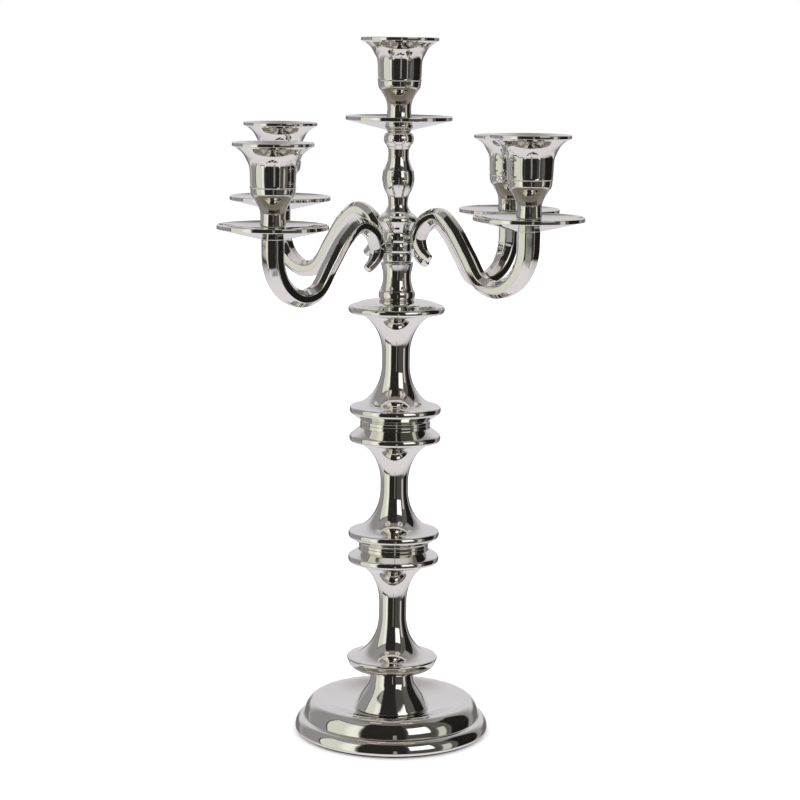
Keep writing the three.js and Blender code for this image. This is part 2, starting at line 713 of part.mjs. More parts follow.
/** Places a drip pan, its stud and its cup on a seat. */
function addLight(parent, place, x, seat) {
  const light = new THREE.Group();
  light.position.set(x, 0, seat + SEAT_GAP);
  parent.add(light);
  addPiece(light, `drip_pan_${place}`, dripPan(), nickel());
  addPiece(light, `cup_stud_${place}`, cupStud(), steel());
  const cup = addPiece(light, `candle_cup_${place}`, candleCup(), nickel());
  cup.position.z = PAN_FLOOR + SEAT_GAP;
}

/** Places one double arm with the lights at its two ends. */
function addDoubleArm(name, azimuth, collarBase, nearPlace, farPlace) {
  const pair = new THREE.Group();
  pair.rotation.z = THREE.MathUtils.degToRad(azimuth);
  pair.position.z = collarBase + COLLAR_HEIGHT / 2;
  candelabra.add(pair);
  addPiece(pair, name, doubleArm(), nickel());
  addLight(pair, nearPlace, ARM_REACH, ARM_END_RISE);
  addLight(pair, farPlace, -ARM_REACH, ARM_END_RISE);
}

addPiece(candelabra, 'foot_felt_ring', feltRing(), felt());
addPiece(candelabra, 'foot', foot(), nickel());
addPiece(candelabra, 'rod_washer', washer(), steel());
addPiece(candelabra, 'rod_nut', rodNut(), steel());
addPiece(candelabra, 'tie_rod', tieRod(), steel());
addPiece(candelabra, 'pedestal_cone', pedestalCone(), nickel()).position.z = coneBase;
addPiece(candelabra, 'spool_lower', lowerSpool(), nickel()).position.z = lowerBase;
addPiece(candelabra, 'spool_middle', middleSpool(), nickel()).position.z = middleBase;
addPiece(candelabra, 'spool_upper', upperSpool(), nickel()).position.z = upperBase;
addPiece(candelabra, 'cap_disc', capDisc(), nickel()).position.z = discBase;
addPiece(candelabra, 'branch_neck', branchNeck(), nickel()).position.z = neckBase;
addPiece(candelabra, 'baluster', baluster(), nickel()).position.z = balusterBase;
addLight(candelabra, 'centre', 0, balusterTop);
addDoubleArm('arm_pair_lower', ARM_DIAGONAL, lowerCollarBase, 'back_right', 'front_left');
addDoubleArm('arm_pair_upper', -ARM_DIAGONAL, upperCollarBase, 'front_right', 'back_left');

export default candelabra;
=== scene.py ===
"""Looks of a five-light tabletop candelabra in bright nickel plate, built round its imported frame.

Lengths are millimetres in the piece classes and become metres when a mesh is made. Levels come from the
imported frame.
"""

from __future__ import annotations

import logging
import math
from dataclasses import dataclass
from enum import Enum
from typing import Any, Callable, Sequence, Union

import bpy
import numpy as np
from mathutils import Matrix, Vector


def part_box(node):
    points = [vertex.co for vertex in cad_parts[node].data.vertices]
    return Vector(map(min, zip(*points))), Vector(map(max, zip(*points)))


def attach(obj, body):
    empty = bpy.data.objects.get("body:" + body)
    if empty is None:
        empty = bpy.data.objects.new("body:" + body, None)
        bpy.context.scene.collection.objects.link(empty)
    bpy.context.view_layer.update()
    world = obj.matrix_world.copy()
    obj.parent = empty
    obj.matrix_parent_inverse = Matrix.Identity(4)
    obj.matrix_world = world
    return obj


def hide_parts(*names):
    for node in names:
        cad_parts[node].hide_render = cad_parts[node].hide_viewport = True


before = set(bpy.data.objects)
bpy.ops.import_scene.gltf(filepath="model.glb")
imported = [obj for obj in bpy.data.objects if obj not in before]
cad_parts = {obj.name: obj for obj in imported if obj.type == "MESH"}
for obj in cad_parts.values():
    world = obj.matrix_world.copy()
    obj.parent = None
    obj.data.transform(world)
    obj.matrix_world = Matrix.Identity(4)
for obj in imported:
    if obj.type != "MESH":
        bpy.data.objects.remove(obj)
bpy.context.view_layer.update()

LOG = logging.getLogger("candelabra")
MM = 0.001
ROD_BORE = 3.25
STUD_BORE = 3.12
SEAT_GAP = 0.1
CREASE = "crease"
TURNED_SEGMENTS = 160
FOOT_SEGMENTS = 256
NECK_SEGMENTS = 128
COLLAR_SEGMENTS = 144
SMALL_SEGMENTS = 96
STUD_SEGMENTS = 40
STUD_STEPS = 10
OUTLINE_STEP = 0.06
ARC_STEP = 3

Points = np.ndarray


# ---- Outlines: arrays of (radius, level) points ----


def arc(r: float, z: float, radius_r: float, radius_z: float, start: float, end: float) -> Points:
    """Part of an ellipse: (r + radius_r cos a, z + radius_z sin a), for a from start to end.

    Args:
        r, z: The ellipse's centre.
        radius_r, radius_z: Its half width and half height.
        start, end: Angles in degrees.

    Returns:
        The points, one about every three degrees.
    """
    count = max(4, int(abs(end - start) / ARC_STEP))
    a = np.radians(np.linspace(start, end, count + 1))
    return np.stack([r + radius_r * np.cos(a), z + radius_z * np.sin(a)], axis=1)


def smooth(knots: Sequence[Sequence[float]], steps: int = 16) -> Points:
    """Smooth curve through knots: cubic Hermite pieces whose slopes come from each knot's two neighbours.

    Args:
        knots: Points to pass through, of any dimension.
        steps: Points on each piece.

    Returns:
        The points of the curve.
    """
    p = np.asarray(knots, dtype=float)
    t = np.concatenate([[0.0], np.cumsum(np.sqrt(np.linalg.norm(np.diff(p, axis=0), axis=1)))])
    slope = np.gradient(p, t, axis=0)
    h = np.diff(t)[:, None, None]
    s = (np.arange(steps) / steps)[None, :, None]
    a, b = p[:-1, None], p[1:, None]
    da, db = slope[:-1, None] * h, slope[1:, None] * h
    body = (
        (2 * s**3 - 3 * s**2 + 1) * a + (s**3 - 2 * s**2 + s) * da
        + (3 * s**2 - 2 * s**3) * b + (s**3 - s**2) * db
    )
    return np.vstack([body.reshape(-1, p.shape[1]), p[-1:]])


def line(*points: Sequence[float]) -> Points:
    """Straight stretches through the given (radius, level) points."""
    return np.asarray(points, dtype=float)


def blurred(values: np.ndarray, sigma: float, closed: bool) -> np.ndarray:
    """Gaussian blur along the first axis: a weighted mean of neighbours within three sigmas.

    Args:
        values: Rows to blur.
        sigma: Width of the bell, in rows.
        closed: Whether the rows wrap round. Open rows are carried on by point reflection, so the ends stay.

    Returns:
        The blurred rows.
    """
    reach = max(1, int(3 * sigma))
    weights = np.exp(-0.5 * (np.arange(-reach, reach + 1) / sigma) ** 2)
    weights /= weights.sum()
    if closed:
        padded = np.concatenate([values[-reach:], values, values[:reach]])
    else:
        head = 2 * values[:1] - values[reach:0:-1]
        tail = 2 * values[-1:] - values[-2:-reach - 2:-1]
        padded = np.concatenate([head, values, tail])
    columns = padded.reshape(len(padded), -1).T
    out = np.stack([np.convolve(c, weights, mode="valid") for c in columns], axis=1)
    return out.reshape(values.shape)


def eased(t: np.ndarray) -> np.ndarray:
    """Smooth step: 0 up to 0, 1 from 1 on, and 3 t^2 - 2 t^3 between."""
    t = t.clip(0, 1)
    return t * t * (3 - 2 * t)


@dataclass(frozen=True)
class Profile:
    """A finished outline: its points, and how deep in a crease each of them lies, from 0 to 1."""

    points: Points
    crease: np.ndarray
    closed: bool


def finish_outline(parts: Sequence[Points], edge: float = 0.22, closed: bool = True,
                   bend: float = 7.5, longest: float = 3.0) -> Profile:
    """Rounds an outline's corners and spaces its points by how much it bends.

    The outline is resampled finely and blurred by a bell of the edge's width, which turns each corner into a
    small fillet. Points are then set so that none is more than bend degrees or longest millimetres from the
    next, and creases are where the outline turns inwards.

    Args:
        parts: Stretches of the outline in order, joined by straight lines.
        edge: Size of the fillets.
        closed: Whether the last point joins the first. An open outline ends on the axis.
        bend, longest: The greatest turn and the greatest length between points.

    Returns:
        The finished profile.
    """
    step = OUTLINE_STEP
    raw = np.vstack(parts)
    if closed:
        raw = np.vstack([raw, raw[:1]])
    length = np.concatenate([[0.0], np.cumsum(np.linalg.norm(np.diff(raw, axis=0), axis=1))])
    keep = np.concatenate([[True], np.diff(length) > 1e-9])
    raw, length = raw[keep], length[keep]
    count = int(length[-1] / step)
    s = np.linspace(0, length[-1], count, endpoint=not closed)
    dense = np.stack([np.interp(s, length, raw[:, 0]), np.interp(s, length, raw[:, 1])], axis=1)
    dense = blurred(dense, edge / step, closed)
    if not closed:
        dense[[0, -1], 0] = 0.0
    ahead = np.roll(dense, -1, axis=0) - dense
    heading = np.unwrap(np.arctan2(ahead[:, 1], ahead[:, 0]))
    turn = np.diff(heading, append=heading[-1:])
    if not closed:
        turn[-3:] = 0.0
    turn = blurred(turn, 3, closed)
    crowding = np.abs(turn) / math.radians(bend) + step / longest
    crowding = blurred(crowding, 0.5 / step, closed).clip(step / longest * 0.5)
    crease = (blurred(-turn / step, 0.35 / step, closed) * 0.8).clip(0, 1)
    along = np.concatenate([[0.0], np.cumsum(crowding)])
    total = along[-1] if closed else along[-2]
    places = np.linspace(0, total, int(math.ceil(total)) + 1)
    places = places[:-1] if closed else places
    used = count + 1 if closed else count
    index = np.interp(places, along[:used], np.arange(used))
    rows = np.arange(count + 1)
    ring = np.vstack([dense, dense[:1]])
    points = np.stack([np.interp(index, rows, ring[:, 0]), np.interp(index, rows, ring[:, 1])], axis=1)
    if not closed:
        points[[0, -1], 0] = 0.0
    return Profile(points, np.interp(index, rows, np.append(crease, crease[0])), closed)


# ---- Surfaces ----


@dataclass
class Surface:
    """A grid of points that wraps round in its first direction, in millimetres.

    The second direction either wraps round too, or ends in a pole at each end.
    """

    grid: np.ndarray
    crease: np.ndarray
    closed: bool

    def faces(self) -> tuple[np.ndarray, np.ndarray]:
        """Vertices and triangles: two for each cell of the grid, and a fan of them round each pole.

        Returns:
            Vertex positions, and the triangles' vertex numbers.
        """
        around, along = self.grid.shape[:2]
        u = np.arange(around)
        if self.closed:
            number = np.arange(around * along).reshape(around, along)
            number = np.hstack([number, number[:, :1]])
            vertices = self.grid.reshape(-1, 3)
        else:
            inner = np.arange(around * (along - 2)).reshape(around, along - 2)
            ends = np.full((around, 1), around * (along - 2))
            number = np.hstack([ends, inner, ends + 1])
            poles = np.stack([self.grid[:, 0].mean(axis=0), self.grid[:, -1].mean(axis=0)])
            vertices = np.vstack([self.grid[:, 1:-1].reshape(-1, 3), poles])
        a, b = number[u, :-1], number[(u + 1) % around, :-1]
        c, d = number[(u + 1) % around, 1:], number[u, 1:]
        triangles = np.concatenate([np.stack([a, b, c], -1), np.stack([a, c, d], -1)]).reshape(-1, 3)
        distinct = (
            (triangles[:, 0] != triangles[:, 1])
            & (triangles[:, 1] != triangles[:, 2])
            & (triangles[:, 2] != triangles[:, 0])
        )
        return vertices, triangles[distinct]

    def creases(self) -> np.ndarray:
        """Crease depth at each vertex, in the order that faces() gives the vertices.

        Returns:
            The depths, from 0 to 1.
        """
        if self.closed:
            return self.crease.reshape(-1)
        poles = np.array([self.crease[:, 0].mean(), self.crease[:, -1].mean()])
        return np.concatenate([self.crease[:, 1:-1].reshape(-1), poles])


def pole(grid: np.ndarray, column: int) -> np.ndarray:
    """Column for a grid's end, with every point at the middle of the grid's given column."""
    return np.broadcast_to(grid[:, [column]].mean(axis=0), grid[:, :1].shape)


def turned(profile: Profile, segments: int = TURNED_SEGMENTS,
           shape: Callable[[np.ndarray, Points], np.ndarray] | None = None,
           angles: np.ndarray | None = None) -> Surface:
    """Surface of revolution: (r cos a, r sin a, z) for each angle a and each profile point (r, z).

    Args:
        profile: The outline to turn.
        segments: Steps round the axis, where angles isn't given.
        shape: Gives the radius to take off at each angle and point, where the piece isn't quite round.
        angles: The angles of the steps, in radians.

    Returns:
        The surface.
    """
    a = np.linspace(0, 2 * np.pi, segments, endpoint=False) if angles is None else angles
    r = np.broadcast_to(profile.points[:, 0], (len(a), len(profile.points))).copy()
    if shape is not None:
        r -= shape(a, profile.points)
    z = np.broadcast_to(profile.points[:, 1], r.shape)
    grid = np.stack([r * np.cos(a)[:, None], r * np.sin(a)[:, None], z], axis=-1)
    return Surface(grid, np.broadcast_to(profile.crease, r.shape), profile.closed)


def moved(surface: Surface, x: float = 0.0, y: float = 0.0, z: float = 0.0, turn: float = 0.0) -> Surface:
    """Copy of a surface turned about +Z and then moved.

    Args:
        surface: The surface.
        x, y, z: How far to move it.
        turn: Degrees to turn it by, anticlockwise from above.

    Returns:
        The copy.
    """
    c, s = math.cos(math.radians(turn)), math.sin(math.radians(turn))
    rotation = np.array([[c, s, 0], [-s, c, 0], [0, 0, 1]])
    return Surface(surface.grid @ rotation + np.array([x, y, z]), surface.crease, surface.closed)


def make_object(name: str, surfaces: Sequence[Surface]) -> bpy.types.Object:
    """One mesh object from one or more closed surfaces, in metres, smooth, with a crease attribute.

    Args:
        name: The object's name.
        surfaces: The surfaces in millimetres.

    Returns:
        The linked object.
    """
    vertices, triangles, creases, count = [], [], [], 0
    for surface in surfaces:
        v, t = surface.faces()
        corner = v[t]
        volume = np.einsum("ij,ij->i", corner[:, 0], np.cross(corner[:, 1], corner[:, 2])).sum()
        vertices.append(v)
        triangles.append((t if volume > 0 else t[:, ::-1]) + count)
        creases.append(surface.creases())
        count += len(v)
    v = (np.vstack(vertices) * MM).astype(np.float32)
    t = np.vstack(triangles).astype(np.int32)
    mesh = bpy.data.meshes.new(name)
    mesh.vertices.add(len(v))
    mesh.vertices.foreach_set("co", v.ravel())
    mesh.loops.add(t.size)
    mesh.loops.foreach_set("vertex_index", t.ravel())
    mesh.polygons.add(len(t))
    mesh.polygons.foreach_set("loop_start", np.arange(0, t.size, 3, dtype=np.int32))
    mesh.polygons.foreach_set("use_smooth", np.ones(len(t), dtype=bool))
    mesh.update(calc_edges=True)
    attribute = mesh.attributes.new(CREASE, "FLOAT", "POINT")
    attribute.data.foreach_set("value", np.concatenate(creases).astype(np.float32))
    piece = bpy.data.objects.new(name, mesh)
    bpy.context.scene.collection.objects.link(piece)
    return piece


def joined(name: str, surfaces: Sequence[Surface]) -> bpy.types.Object:
    """One closed solid: the surfaces joined where they run into each other.

    Args:
        name: The object's name.
        surfaces: Closed surfaces to join.

    Returns:
        The object, with the joins applied.
    """
    piece = make_object(name, surfaces[:1])
    helpers = []
    for surface in surfaces[1:]:
        helper = make_object(f"{name}_tool", [surface])
        modifier = piece.modifiers.new("union", "BOOLEAN")
        modifier.object = helper
        modifier.operation = "UNION"
        modifier.solver = "MANIFOLD"
        helpers.append(helper)
    shape = bpy.data.meshes.new_from_object(piece.evaluated_get(bpy.context.evaluated_depsgraph_get()))
    piece.modifiers.clear()
    rough = piece.data
    piece.data = shape
    shape.name = name
    bpy.data.meshes.remove(rough)
    for helper in helpers:
        data = helper.data
        bpy.data.objects.remove(helper)
        bpy.data.meshes.remove(data)
    return piece


# ---- Shader maths ----


Value = Union["Socket", float]


class Socket:
    """A node's output, on which arithmetic adds Math nodes."""

    def __init__(self, tree: bpy.types.NodeTree, output: bpy.types.NodeSocket) -> None:
        """Wraps one output of a tree's node."""
        self.tree = tree
        self.output = output

    def math(self, operation: str, *others: Value) -> "Socket":
        """Result of a Math node with this value first.

        Args:
            operation: The Math node's operation.
            others: The other values.

        Returns:
            The node's output.
        """
        inputs = dict(enumerate((self, *others)))
        return add_node(self.tree, "ShaderNodeMath", {"operation": operation}, inputs)

    def __add__(self, other: Value) -> "Socket":
        """Sum."""
        return self.math("ADD", other)

    def __radd__(self, other: Value) -> "Socket":
        """Reflected sum."""
        return self.math("ADD", other)

    def __sub__(self, other: Value) -> "Socket":
        """Difference."""
        return self.math("SUBTRACT", other)

    def __rsub__(self, other: float) -> "Socket":
        """Reflected difference."""
        return add_node(self.tree, "ShaderNodeMath", {"operation": "SUBTRACT"}, {0: other, 1: self})

    def __mul__(self, other: Value) -> "Socket":
        """Product."""
        return self.math("MULTIPLY", other)

    def __rmul__(self, other: Value) -> "Socket":
        """Reflected product."""
        return self.math("MULTIPLY", other)

    def ramped(self, start: float, end: float) -> "Socket":
        """Smooth step: 0 at start, 1 at end, eased between.

        Args:
            start, end: The step's ends. Start may be above end.

        Returns:
            The eased value.
        """
        settings = {"interpolation_type": "SMOOTHSTEP", "clamp": True}
        inputs = {"Value": self, "From Min": start, "From Max": end, "To Min": 0.0, "To Max": 1.0}
        return add_node(self.tree, "ShaderNodeMapRange", settings, inputs)

    def spread(self, low: float, high: float) -> "Socket":
        """This value from 0 to 1, stretched from low to high."""
        return self * (high - low) + low


def set_inputs(tree: bpy.types.NodeTree, node: bpy.types.Node, inputs: dict[Union[int, str], Any]) -> None:
    """Gives a node's inputs their values or links.

    Args:
        tree: The node tree.
        node: The node.
        inputs: Values or sockets by input name or number.
    """
    for name, value in inputs.items():
        if isinstance(value, Socket):
            tree.links.new(value.output, node.inputs[name])
        else:
            node.inputs[name].default_value = value


def add_node(tree: bpy.types.NodeTree, kind: str, settings: dict[str, Any],
             inputs: dict[Union[int, str], Any], output: Union[int, str] = 0) -> Socket:
    """Adds a node, sets its settings, then its inputs.

    Args:
        tree: The node tree.
        kind: The node's type.
        settings: Attributes of the node.
        inputs: Values or sockets by input name or number.
        output: Which output to return.

    Returns:
        The output, wrapped.
    """
    node = tree.nodes.new(kind)
    for name, value in settings.items():
        setattr(node, name, value)
    set_inputs(tree, node, inputs)
    return Socket(tree, node.outputs[output])


def object_place(tree: bpy.types.NodeTree) -> Socket:
    """Object coordinates, in metres."""
    return add_node(tree, "ShaderNodeTexCoord", {}, {}, "Object")


def noise(place: Socket, scale: float, detail: float, distortion: float = 0.0) -> Socket:
    """Cloudy noise from 0 to 1.

    Args:
        place: Where the pattern is read.
        scale: Its fineness, in patches a metre.
        detail: How many finer layers lie over it.
        distortion: How far it is swirled.

    Returns:
        The noise.
    """
    inputs = {"Vector": place, "Scale": scale, "Detail": detail, "Distortion": distortion}
    return add_node(place.tree, "ShaderNodeTexNoise", {}, inputs)


def stretched(place: Socket, factors: tuple[float, float, float]) -> Socket:
    """Coordinates multiplied along each axis."""
    return add_node(place.tree, "ShaderNodeVectorMath", {"operation": "MULTIPLY"}, {0: place, 1: factors})


def bump(height: Socket, strength: float, distance: float) -> Socket:
    """Normal tilted by a height pattern, whose full height is the distance in metres."""
    inputs = {"Height": height, "Strength": strength, "Distance": distance}
    return add_node(height.tree, "ShaderNodeBump", {}, inputs)


def mixed(factor: Socket, first: Any, second: Any) -> Socket:
    """Colour mix: the first colour where factor is 0, the second where it is 1."""
    settings = {"data_type": "RGBA", "blend_type": "MIX", "clamp_factor": True}
    return add_node(factor.tree, "ShaderNodeMix", settings, {0: factor, 6: first, 7: second}, 2)


def rgba(red: float, green: float, blue: float) -> tuple[float, float, float, float]:
    """Opaque linear colour."""
    return (red, green, blue, 1.0)


def new_material(name: str) -> tuple[bpy.types.Material, bpy.types.NodeTree, bpy.types.Node]:
    """Empty node material with a Principled shader on its output.

    Args:
        name: The material's name.

    Returns:
        The material, its node tree and its Principled node.
    """
    material = bpy.data.materials.new(name)
    material.use_nodes = True
    tree = material.node_tree
    tree.nodes.clear()
    shader = tree.nodes.new("ShaderNodeBsdfPrincipled")
    output = tree.nodes.new("ShaderNodeOutputMaterial")
    tree.links.new(shader.outputs[0], output.inputs["Surface"])
    return material, tree, shader


class Grain(Enum):
    """Which way a finish's fine polishing marks run."""

    TURNED = "round the axis"
    CAST = "every way"


MARK_STRETCH = {Grain.TURNED: (260.0, 260.0, 5200.0), Grain.CAST: (2600.0, 2600.0, 2600.0)}


@dataclass(frozen=True)
class NickelPlate:
    """Bright nickel plate over a polished casting.

    The colour is warm, and browner and darker in creases: partly tarnish and polish that stay there, partly
    painted shade laid into the creases. The bump is a soft casting wave with fine polishing marks over it.
    """

    name: str
    grain: Grain
    colour: tuple[float, float, float] = (0.87, 0.85, 0.81)
    # Crease colour: brown tarnish, and painted shade that darkens the creases.
    tarnish_and_shade_colour: tuple[float, float, float] = (0.42, 0.34, 0.25)
    tarnish_and_shade_cover: float = 0.55
    cloud_shade: float = 0.965
    roughness: float = 0.035
    haze: float = 0.02
    crease_roughness: float = 0.3
    wave: float = 0.05
    mark_depth: float = 0.0012
    bump_height: float = 0.0012

    def build(self) -> bpy.types.Material:
        """Makes the material.

        Returns:
            The material.
        """
        material, tree, shader = new_material(self.name)
        place = object_place(tree)
        crease = add_node(tree, "ShaderNodeAttribute", {"attribute_name": CREASE}, {}, "Fac")
        cloud = noise(place, 38.0, 3.0)
        speck = noise(place, 420.0, 2.0)
        wave = noise(place, 95.0, 1.5)
        marks = noise(stretched(place, MARK_STRETCH[self.grain]), 1.0, 2.0)
        # Crease mask: tarnish in the creases, and painted shade laid into them as darker colour; the same
        # mask also roughens them.
        crease_tarnish_and_shade = (crease * speck.spread(0.7, 1.1)).ramped(0.15, 1.0) * self.tarnish_and_shade_cover
        shade = rgba(*(self.cloud_shade * c for c in self.colour))
        tone = mixed(cloud.ramped(0.3, 0.7), rgba(*self.colour), shade)
        haze = cloud.ramped(0.35, 0.75) * self.haze
        scratches = marks.ramped(0.6, 0.8) * self.haze
        set_inputs(tree, shader, {
            "Base Color": mixed(crease_tarnish_and_shade, tone, rgba(*self.tarnish_and_shade_colour)),
            "Metallic": 1.0,
            "Roughness": haze + self.roughness + crease_tarnish_and_shade * self.crease_roughness + scratches,
            "Normal": bump(wave * self.wave + marks * self.mark_depth, 1.0, self.bump_height),
        })
        return material


@dataclass(frozen=True)
class PlainSteel:
    """Zinc-grey steel of the rod, studs, nut and washer, with drawing marks along it."""

    name: str
    colour: tuple[float, float, float] = (0.52, 0.52, 0.53)
    dull: tuple[float, float, float] = (0.36, 0.35, 0.34)
    mark_stretch: tuple[float, float, float] = (4000.0, 4000.0, 150.0)
    roughness: tuple[float, float] = (0.24, 0.44)

    def build(self) -> bpy.types.Material:
        """Makes the material.

        Returns:
            The material.
        """
        material, tree, shader = new_material(self.name)
        place = object_place(tree)
        cloud = noise(place, 300.0, 5.0)
        marks = noise(stretched(place, self.mark_stretch), 1.0, 3.0)
        set_inputs(tree, shader, {
            "Base Color": mixed(cloud.ramped(0.35, 0.7), rgba(*self.colour), rgba(*self.dull)),
            "Metallic": 1.0,
            "Roughness": cloud.spread(*self.roughness),
            "Normal": bump(marks, 0.4, 0.00004),
        })
        return material


@dataclass(frozen=True)
class PressedFelt:
    """Dark pressed felt: matted fibres in two tones, with a soft nap."""

    name: str
    colour: tuple[float, float, float] = (0.030, 0.030, 0.034)
    light: tuple[float, float, float] = (0.085, 0.085, 0.092)
    roughness: tuple[float, float] = (0.85, 1.0)
    sheen: float = 0.35

    def build(self) -> bpy.types.Material:
        """Makes the material.

        Returns:
            The material.
        """
        material, tree, shader = new_material(self.name)
        place = object_place(tree)
        swirl = noise(place, 1500.0, 6.0, 2.5)
        patch = noise(place, 120.0, 2.0)
        fibres = swirl.ramped(0.4, 0.75) * patch.spread(0.5, 1.0)
        set_inputs(tree, shader, {
            "Base Color": mixed(fibres, rgba(*self.colour), rgba(*self.light)),
            "Roughness": patch.spread(*self.roughness),
            "Sheen Weight": self.sheen,
            "Normal": bump(swirl, 0.8, 0.0002),
        })
        return material


class Finishes:
    """The finished materials, made once and shared by the pieces."""

    def __init__(self) -> None:
        """Builds each finish."""
        self.turned = NickelPlate("nickel_turned", Grain.TURNED).build()
        self.cast = NickelPlate("nickel_cast", Grain.CAST, wave=0.08).build()
        self.steel = PlainSteel("plain_steel").build()
        self.felt = PressedFelt("pressed_felt").build()


class Slot(Enum):
    """The material slots of the part's record."""

    FOOT = "foot_nickel"
    PILLAR = "pillar_nickel"
    ARM = "arm_nickel"
    PAN = "pan_nickel"
    CUP = "cup_nickel"
    STEEL = "rod_steel"
    FELT = "felt"


def dress(piece: bpy.types.Object, material: bpy.types.Material, node: str, body: str) -> None:
    """Gives a piece its finish, and stands it for its node on its body.

    Args:
        piece: The finished object.
        material: Its finish.
        node: The frame's node that it replaces.
        body: The body it rides on.
    """
    piece.data.materials.clear()
    piece.data.materials.append(material)
    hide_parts(node)
    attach(piece, body)
    LOG.info("%s: %d triangles on %s", piece.name, len(piece.data.polygons), body)


def base_of(node: str) -> float:
    """Lowest level of a node at rest, in millimetres."""
    return float(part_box(node)[0][2]) / MM


def height_of(node: str) -> float:
    """Height of a node at rest, in millimetres."""
    low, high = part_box(node)
    return float(high[2] - low[2]) / MM


def radius_of(node: str) -> float:
    """Greatest radius of a round node from its own middle, in millimetres."""
    low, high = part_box(node)
    return float(high[0] - low[0]) / 2 / MM


# ---- Thread, nut and washer ----


@dataclass(frozen=True)
class Thread:
    """Size of a metric screw thread, and its wave.

    The groove takes this share of the depth: flank times the distance from mid-pitch in pitches, less crest,
    held between 0 and 1. The last field is how deep a crease its root counts as.
    """

    radius: float = 3.0
    pitch: float = 1.0
    depth: float = 0.5
    chamfer: float = 0.7
    chamfer_slope: float = 0.9
    flank: float = 2.3
    crest: float = 0.15
    root_crease: float = 0.5


@dataclass
class ThreadedBar:
    """A rod or stud threaded from end to end.

    The radius is the thread's outer one less its depth times a V wave of (level / pitch - angle / turn) with
    flat crests and roots, and it narrows at both ends over the chamfer.
    """

    thread: Thread
    segments: int = 24
    steps_per_pitch: int = 6

    def surface(self, low: float, high: float) -> Surface:
        """The bar's surface between two levels.

        Args:
            low, high: The ends.

        Returns:
            The surface, closed by a pole at each end.
        """
        t = self.thread
        rows = int((high - low) / t.pitch * self.steps_per_pitch)
        level = np.linspace(low, high, rows)[None, :]
        angle = np.linspace(0, 2 * np.pi, self.segments, endpoint=False)[:, None]
        phase = (level / t.pitch - angle / (2 * np.pi)) % 1.0
        groove = np.clip(np.abs(phase - 0.5) * t.flank - t.crest, 0, 1) * t.depth
        near_end = np.minimum(level - low, high - level)
        taper = (t.chamfer - near_end).clip(0) * t.chamfer_slope
        r = t.radius - np.maximum(groove, taper)
        grid = np.stack([r * np.cos(angle), r * np.sin(angle), np.broadcast_to(level, r.shape)], axis=-1)
        ends = [np.stack([0 * angle, 0 * angle, np.full_like(angle, z)], axis=-1) for z in (low, high)]
        grid = np.concatenate([ends[0], grid, ends[1]], axis=1)
        crease = np.pad(groove / t.depth, ((0, 0), (1, 1)))
        return Surface(grid, crease * t.root_crease, False)


